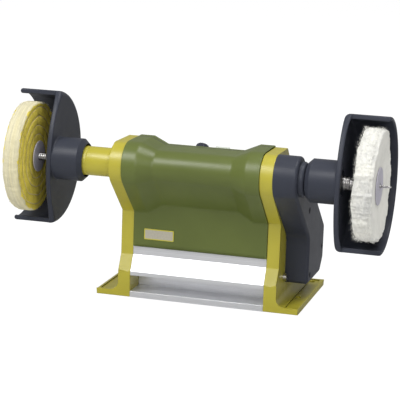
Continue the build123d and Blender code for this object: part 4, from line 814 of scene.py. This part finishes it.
def strand_points(side, edge, span, sizes, count, seed, spread):
    """Loose threads: each a three-sided taper of four rings that leaves the mop's edge outwards and bends
    along and round the spindle with a power of its length."""
    dice = np.random.default_rng(seed)
    angle = dice.uniform(0, 2 * math.pi, count)
    level = dice.beta(0.45, 0.45, count) * 0.96 + 0.02
    foot = np.interp(angle, np.linspace(0, 2 * math.pi, len(edge) + 1), np.append(edge, edge[0]))
    size = sizes.strand * dice.uniform(0.35, 1.0, count) * spread
    lean = dice.uniform(-0.6, 0.6, count)
    tip_x = dice.normal(0, 0.4, count) + (level - 0.5) * 0.9
    rows = (level, foot, size, lean, tip_x, angle)
    level, foot, size, lean, tip_x, angle = [row[:, None, None] for row in rows]
    along = np.array([0.0, 0.4, 0.75, 1.0])[None, :, None]
    width = np.array([0.10, 0.085, 0.06, 0.02])[None, :, None] * MM
    corner = np.radians([0, 120, 240])
    radius = foot - 0.9 * MM + size * along
    x = span[0] + (span[1] - span[0]) * level + size * tip_x * along**2
    turn = angle + size * lean * along**1.6 / foot
    x = x + width * np.cos(corner)
    turn = turn + width * np.sin(corner) / foot
    points = round_spindle(side * x, radius, turn)
    start = points[0].size // 3 * np.arange(count)
    sides = grid_faces(points[0], False, True)[None, :, :] + start[:, None, None]
    caps = np.stack([start + k for k in (9, 10, 11)], axis=-1)
    return points, sides.reshape(-1, 4).tolist() + caps.tolist()


def cloth_mesh(name, points, faces, tread):
    """A mesh that carries the tread attribute on its points."""
    mesh = bpy.data.meshes.new(name)
    mesh.from_pydata(points.reshape(-1, 3), [], faces)
    mark = mesh.attributes.new("tread", "FLOAT", "POINT")
    mark.data.foreach_set("value", tread.astype(np.float32).ravel())
    return mesh


class POLISHER_OT_mops(bpy.types.Operator):
    """Make the stitched left mop and the loose right mop with their threads"""

    bl_idname = "polisher.mops"
    bl_label = "Mops"

    def execute(self, context):
        sizes = context.scene.polisher_sizes
        # node, side, seed, stitched, slot, number of loose threads and how far they spread
        kinds = (
            ("left_mop", -1, 11, True, "yellow_cloth", 520, 0.45),
            ("right_mop", 1, 23, False, "white_cotton", 2600, 1.0),
        )
        for node, side, seed, stitched, slot, count, spread in kinds:
            points, tread, edge, span = mop_points(side, sizes, seed, stitched)
            mesh = cloth_mesh(node + "_cloth", points, grid_faces(points, True, True).tolist(), tread)
            shape = bmesh.new()
            shape.from_mesh(mesh)
            bmesh.ops.recalc_face_normals(shape, faces=shape.faces)
            shape.to_mesh(mesh)
            shape.free()
            piece = set_down(node + "_cloth", mesh, "spindle", (node,), slot, ALL_SMOOTH)
            points, faces = strand_points(side, edge, span, sizes, count, seed + 50, spread)
            strands = cloth_mesh(node + "_threads", points, faces, np.ones(points.size // 3))
            set_down(node + "_threads", strands, "spindle", (), slot, ALL_SMOOTH)
        return {"FINISHED"}


def washer_profile(inner_x, outer_x, bore, radius):
    """Places and radii of a pressed washer: a flat middle and a rolled rim."""
    roll = (outer_x - inner_x) / 2
    rim = bend(((inner_x + outer_x) / 2, radius - roll), roll, 180, 0, 7)
    flat = radius * 0.72
    x = np.concatenate([[inner_x, inner_x], rim[:, 0], [outer_x, outer_x]])
    return x, np.concatenate([[bore, flat], rim[:, 1], [flat, bore]])


def arbor_points(side, sizes):
    """Arbor: root with grip grooves, a shoulder, then a cone that carries a spiral thread. On the cone
    the radius is the taper less depth * |saw(x / pitch + turn)|, with the turn reversed on the left."""
    low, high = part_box("left_arbor" if side < 0 else "right_arbor")
    start, end = sorted((abs(low.x), abs(high.x)))
    neck, body, groove, round_in = 138.5 * MM, 6.0 * MM, 0.7 * MM, 0.5 * MM
    thick, tip, slope = 3.7 * MM, 0.7 * MM, 2.4
    shoulder = neck - 1.0 * MM
    grooves = [start + (4.0 + 1.6 * k) * MM for k in range(3)]
    x = np.concatenate([crowded(start, neck, 12, grooves, 0.8 * MM), np.linspace(neck, end, 190)[1:]])
    root = body - sum(groove * np.clip(1 - np.abs(x - place) / groove, 0, 1) for place in grooves)
    root = root - round_in * np.clip(1 - (x - start) / round_in, 0, 1)
    root = np.where(x > shoulder, body - slope * (x - shoulder), root)
    taper = thick + (tip - thick) * (x - neck) / (end - neck)
    angle = full_turn(40)
    wave = x[:, None] / sizes.thread_pitch + side * angle / (2 * math.pi)
    tooth = np.abs(2 * (wave - np.floor(wave)) - 1)
    fade = np.clip((x - neck) / (1.5 * MM), 0, 1) * np.clip((end - x) / (2.5 * MM) + 0.15, 0, 1)
    radius = np.where(x < neck, root, taper)[:, None] - sizes.thread_depth * fade[:, None] * tooth
    closed = 0.001 * MM + 0 * radius[:1]
    radius = np.concatenate([closed, radius, closed])
    x = np.concatenate([x[:1], x, x[-1:]])
    return round_spindle(side * x[:, None], radius, angle)


class POLISHER_OT_arbors(bpy.types.Operator):
    """Make the threaded arbors and the mop washers"""

    bl_idname = "polisher.arbors"
    bl_label = "Arbors and washers"

    def execute(self, context):
        sizes = context.scene.polisher_sizes
        for hand, side in SIDES:
            points = arbor_points(side, sizes)
            faces = grid_faces(points, False, True)
            nodes = (hand + "_arbor",)
            add_piece(hand + "_arbor_screw", points, faces, "spindle", nodes, "bright_steel", 40.0)
            low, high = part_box(hand + "_mop_washers")
            mop_low, mop_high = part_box(hand + "_mop")
            ends = sorted((abs(low.x), abs(high.x)))
            cloth = sorted((abs(mop_low.x), abs(mop_high.x)))
            points = []
            faces = []
            for inner_x, outer_x in ((ends[0], cloth[0]), (cloth[1], ends[1])):
                x, radius = washer_profile(inner_x, outer_x, 3.4 * MM, (high.z - low.z) / 2)
                ring = turned(side * x, radius)
                faces += (grid_faces(ring, True, True) + len(points)).tolist()
                points += ring.reshape(-1, 3).tolist()
            nodes = (hand + "_mop_washers",)
            add_piece(hand + "_washer_pair", points, faces, "spindle", nodes, "washer_card", 40.0)
        return {"FINISHED"}


class POLISHER_OT_controls(bpy.types.Operator):
    """Make the speed knob, the rocker switch and the cord gland"""

    bl_idname = "polisher.controls"
    bl_label = "Controls"

    def execute(self, context):
        edge = context.scene.polisher_sizes.plastic_edge
        cast_copy("speed_knob_grip", "speed_knob", 0.3 * MM, "speed_knob", "black_plastic", 50.0)
        cast_copy("rocker_key", "power_rocker", edge, "power_rocker", "red_plastic", 35.0)
        cast_copy("cord_gland_sleeve", "cord_gland", edge, "machine", "black_plastic", 40.0)
        return {"FINISHED"}


class POLISHER_OT_finishes(bpy.types.Operator):
    """Make all finishes and give each frame node the one of its slot"""

    bl_idname = "polisher.finishes"
    bl_label = "Finishes"

    def execute(self, context):
        scene = context.scene
        finishes = make_finishes(scene.polisher_colours, scene.polisher_sizes.stitch_pitch)
        for part in FRAME["record"]["subparts"]:
            node = NODES[part["node"]]
            if not node.material_slots:
                node.data.materials.append(None)
            for place in node.material_slots:
                place.link = "OBJECT"
                place.material = finishes[part["material_slot"]]
        return {"FINISHED"}


def lamp(name, place, aim, size, power):
    """A square soft light at a place, aimed at a point."""
    data = bpy.data.lights.new(name, "AREA")
    data.size = size
    data.energy = power
    light = bpy.data.objects.new(name, data)
    way = Vector(aim) - Vector(place)
    light.matrix_world = Matrix.Translation(place) @ way.to_track_quat("-Z", "Y").to_matrix().to_4x4()
    bpy.context.scene.collection.objects.link(light)


class POLISHER_OT_stage(bpy.types.Operator):
    """Make the floor, the lights, the world and the camera"""

    bl_idname = "polisher.stage"
    bl_label = "Stage"

    def execute(self, context):
        scene = context.scene
        floor_mesh = bpy.data.meshes.new("floor")
        corners = [(-1, -1), (1, -1), (1, 1), (-1, 1)]
        corners = [(x * FLOOR_REACH, y * FLOOR_REACH, 0) for x, y in corners]
        floor_mesh.from_pydata(corners, [], [(0, 1, 2, 3)])
        floor = bpy.data.objects.new("floor", floor_mesh)
        scene.collection.objects.link(floor)
        made = Finish("floor", base_color=(0.75, 0.75, 0.75), roughness=0.9)
        rays = ("Is Camera Ray", "Is Glossy Ray", "Is Transmission Ray")
        direct, mirrored, through = [made.node("ShaderNodeLightPath", {}, {}, ray) for ray in rays]
        seen = direct + mirrored * FLOOR_MIRRORED + through
        tone = made.mix(mirrored, WHITE, DIM)
        glow = made.node("ShaderNodeEmission", {}, {"Color": tone, "Strength": FLOOR_GLOW})
        share = seen.math("MINIMUM", 1.0) * FLOOR_SHARE
        plain = Wire(made, made.shader.outputs[0])
        both = made.node("ShaderNodeMixShader", {}, {0: share, 1: plain, 2: glow})
        made.feed(made.tree.nodes["Material Output"].inputs[0], both)
        floor_mesh.materials.append(made.material)

        world = bpy.data.worlds.new("studio")
        world.use_nodes = True
        scene.world = world
        nodes = world.node_tree.nodes
        sky = nodes["Background"]
        sky.inputs["Color"].default_value = (*WHITE, 1.0)
        sky.inputs["Strength"].default_value = WORLD_LEVEL
        view = nodes.new("ShaderNodeBackground")
        view.inputs["Color"].default_value = (*WHITE, 1.0)
        choose = nodes.new("ShaderNodeMixShader")
        light_path = nodes.new("ShaderNodeLightPath")
        links = world.node_tree.links
        links.new(light_path.outputs["Is Camera Ray"], choose.inputs[0])
        links.new(sky.outputs[0], choose.inputs[1])
        links.new(view.outputs[0], choose.inputs[2])
        links.new(choose.outputs[0], nodes["World Output"].inputs[0])

        for row in LAMPS:
            lamp(*row)

        data = bpy.data.cameras.new("camera")
        data.sensor_width = SENSOR
        data.lens = LENS
        data.clip_start, data.clip_end = CLIP
        camera = bpy.data.objects.new("camera", data)
        azimuth, elevation, roll = [math.radians(angle) for angle in (AZIMUTH, ELEVATION, ROLL)]
        flat = math.cos(elevation)
        back = Vector((math.sin(azimuth) * flat, -math.cos(azimuth) * flat, math.sin(elevation)))
        level = Vector((math.cos(azimuth), math.sin(azimuth), 0))
        rise = back.cross(level)
        right = level * math.cos(roll) + rise * math.sin(roll)
        up = rise * math.cos(roll) - level * math.sin(roll)
        turn = Matrix((right, up, back)).transposed().to_4x4()
        camera.matrix_world = Matrix.Translation(Vector(TARGET) + back * DISTANCE) @ turn
        scene.collection.objects.link(camera)
        scene.camera = camera
        scene.view_settings.view_transform = "Standard"
        return {"FINISHED"}


class POLISHER_PT_panel(bpy.types.Panel):
    """Lists the polisher's steps and settings"""

    bl_label = "Polisher"
    bl_idname = "POLISHER_PT_panel"
    bl_space_type = "VIEW_3D"
    bl_region_type = "UI"
    bl_category = "Polisher"

    def draw(self, context):
        for step in STEPS:
            self.layout.operator(step.bl_idname)
        for group in (context.scene.polisher_sizes, context.scene.polisher_colours):
            box = self.layout.box()
            for name in group.__annotations__:
                box.prop(group, name)


STEPS = (
    POLISHER_OT_stage,
    POLISHER_OT_finishes,
    POLISHER_OT_housing,
    POLISHER_OT_base,
    POLISHER_OT_tubes,
    POLISHER_OT_guards,
    POLISHER_OT_mops,
    POLISHER_OT_arbors,
    POLISHER_OT_controls,
)
CLASSES = (PolisherSizes, PolisherColours, *STEPS, POLISHER_PT_panel)


def register():
    """Registers the classes and the two groups of settings."""
    for item in CLASSES:
        bpy.utils.register_class(item)
    bpy.types.Scene.polisher_sizes = bpy.props.PointerProperty(type=PolisherSizes)
    bpy.types.Scene.polisher_colours = bpy.props.PointerProperty(type=PolisherColours)


def unregister():
    """Takes the settings and the classes away again."""
    del bpy.types.Scene.polisher_sizes
    del bpy.types.Scene.polisher_colours
    for item in reversed(CLASSES):
        bpy.utils.unregister_class(item)


def main():
    """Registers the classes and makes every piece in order."""
    register()
    for step in STEPS:
        getattr(bpy.ops.polisher, step.bl_idname.split(".")[1])()


if __name__ == "__main__":
    main()
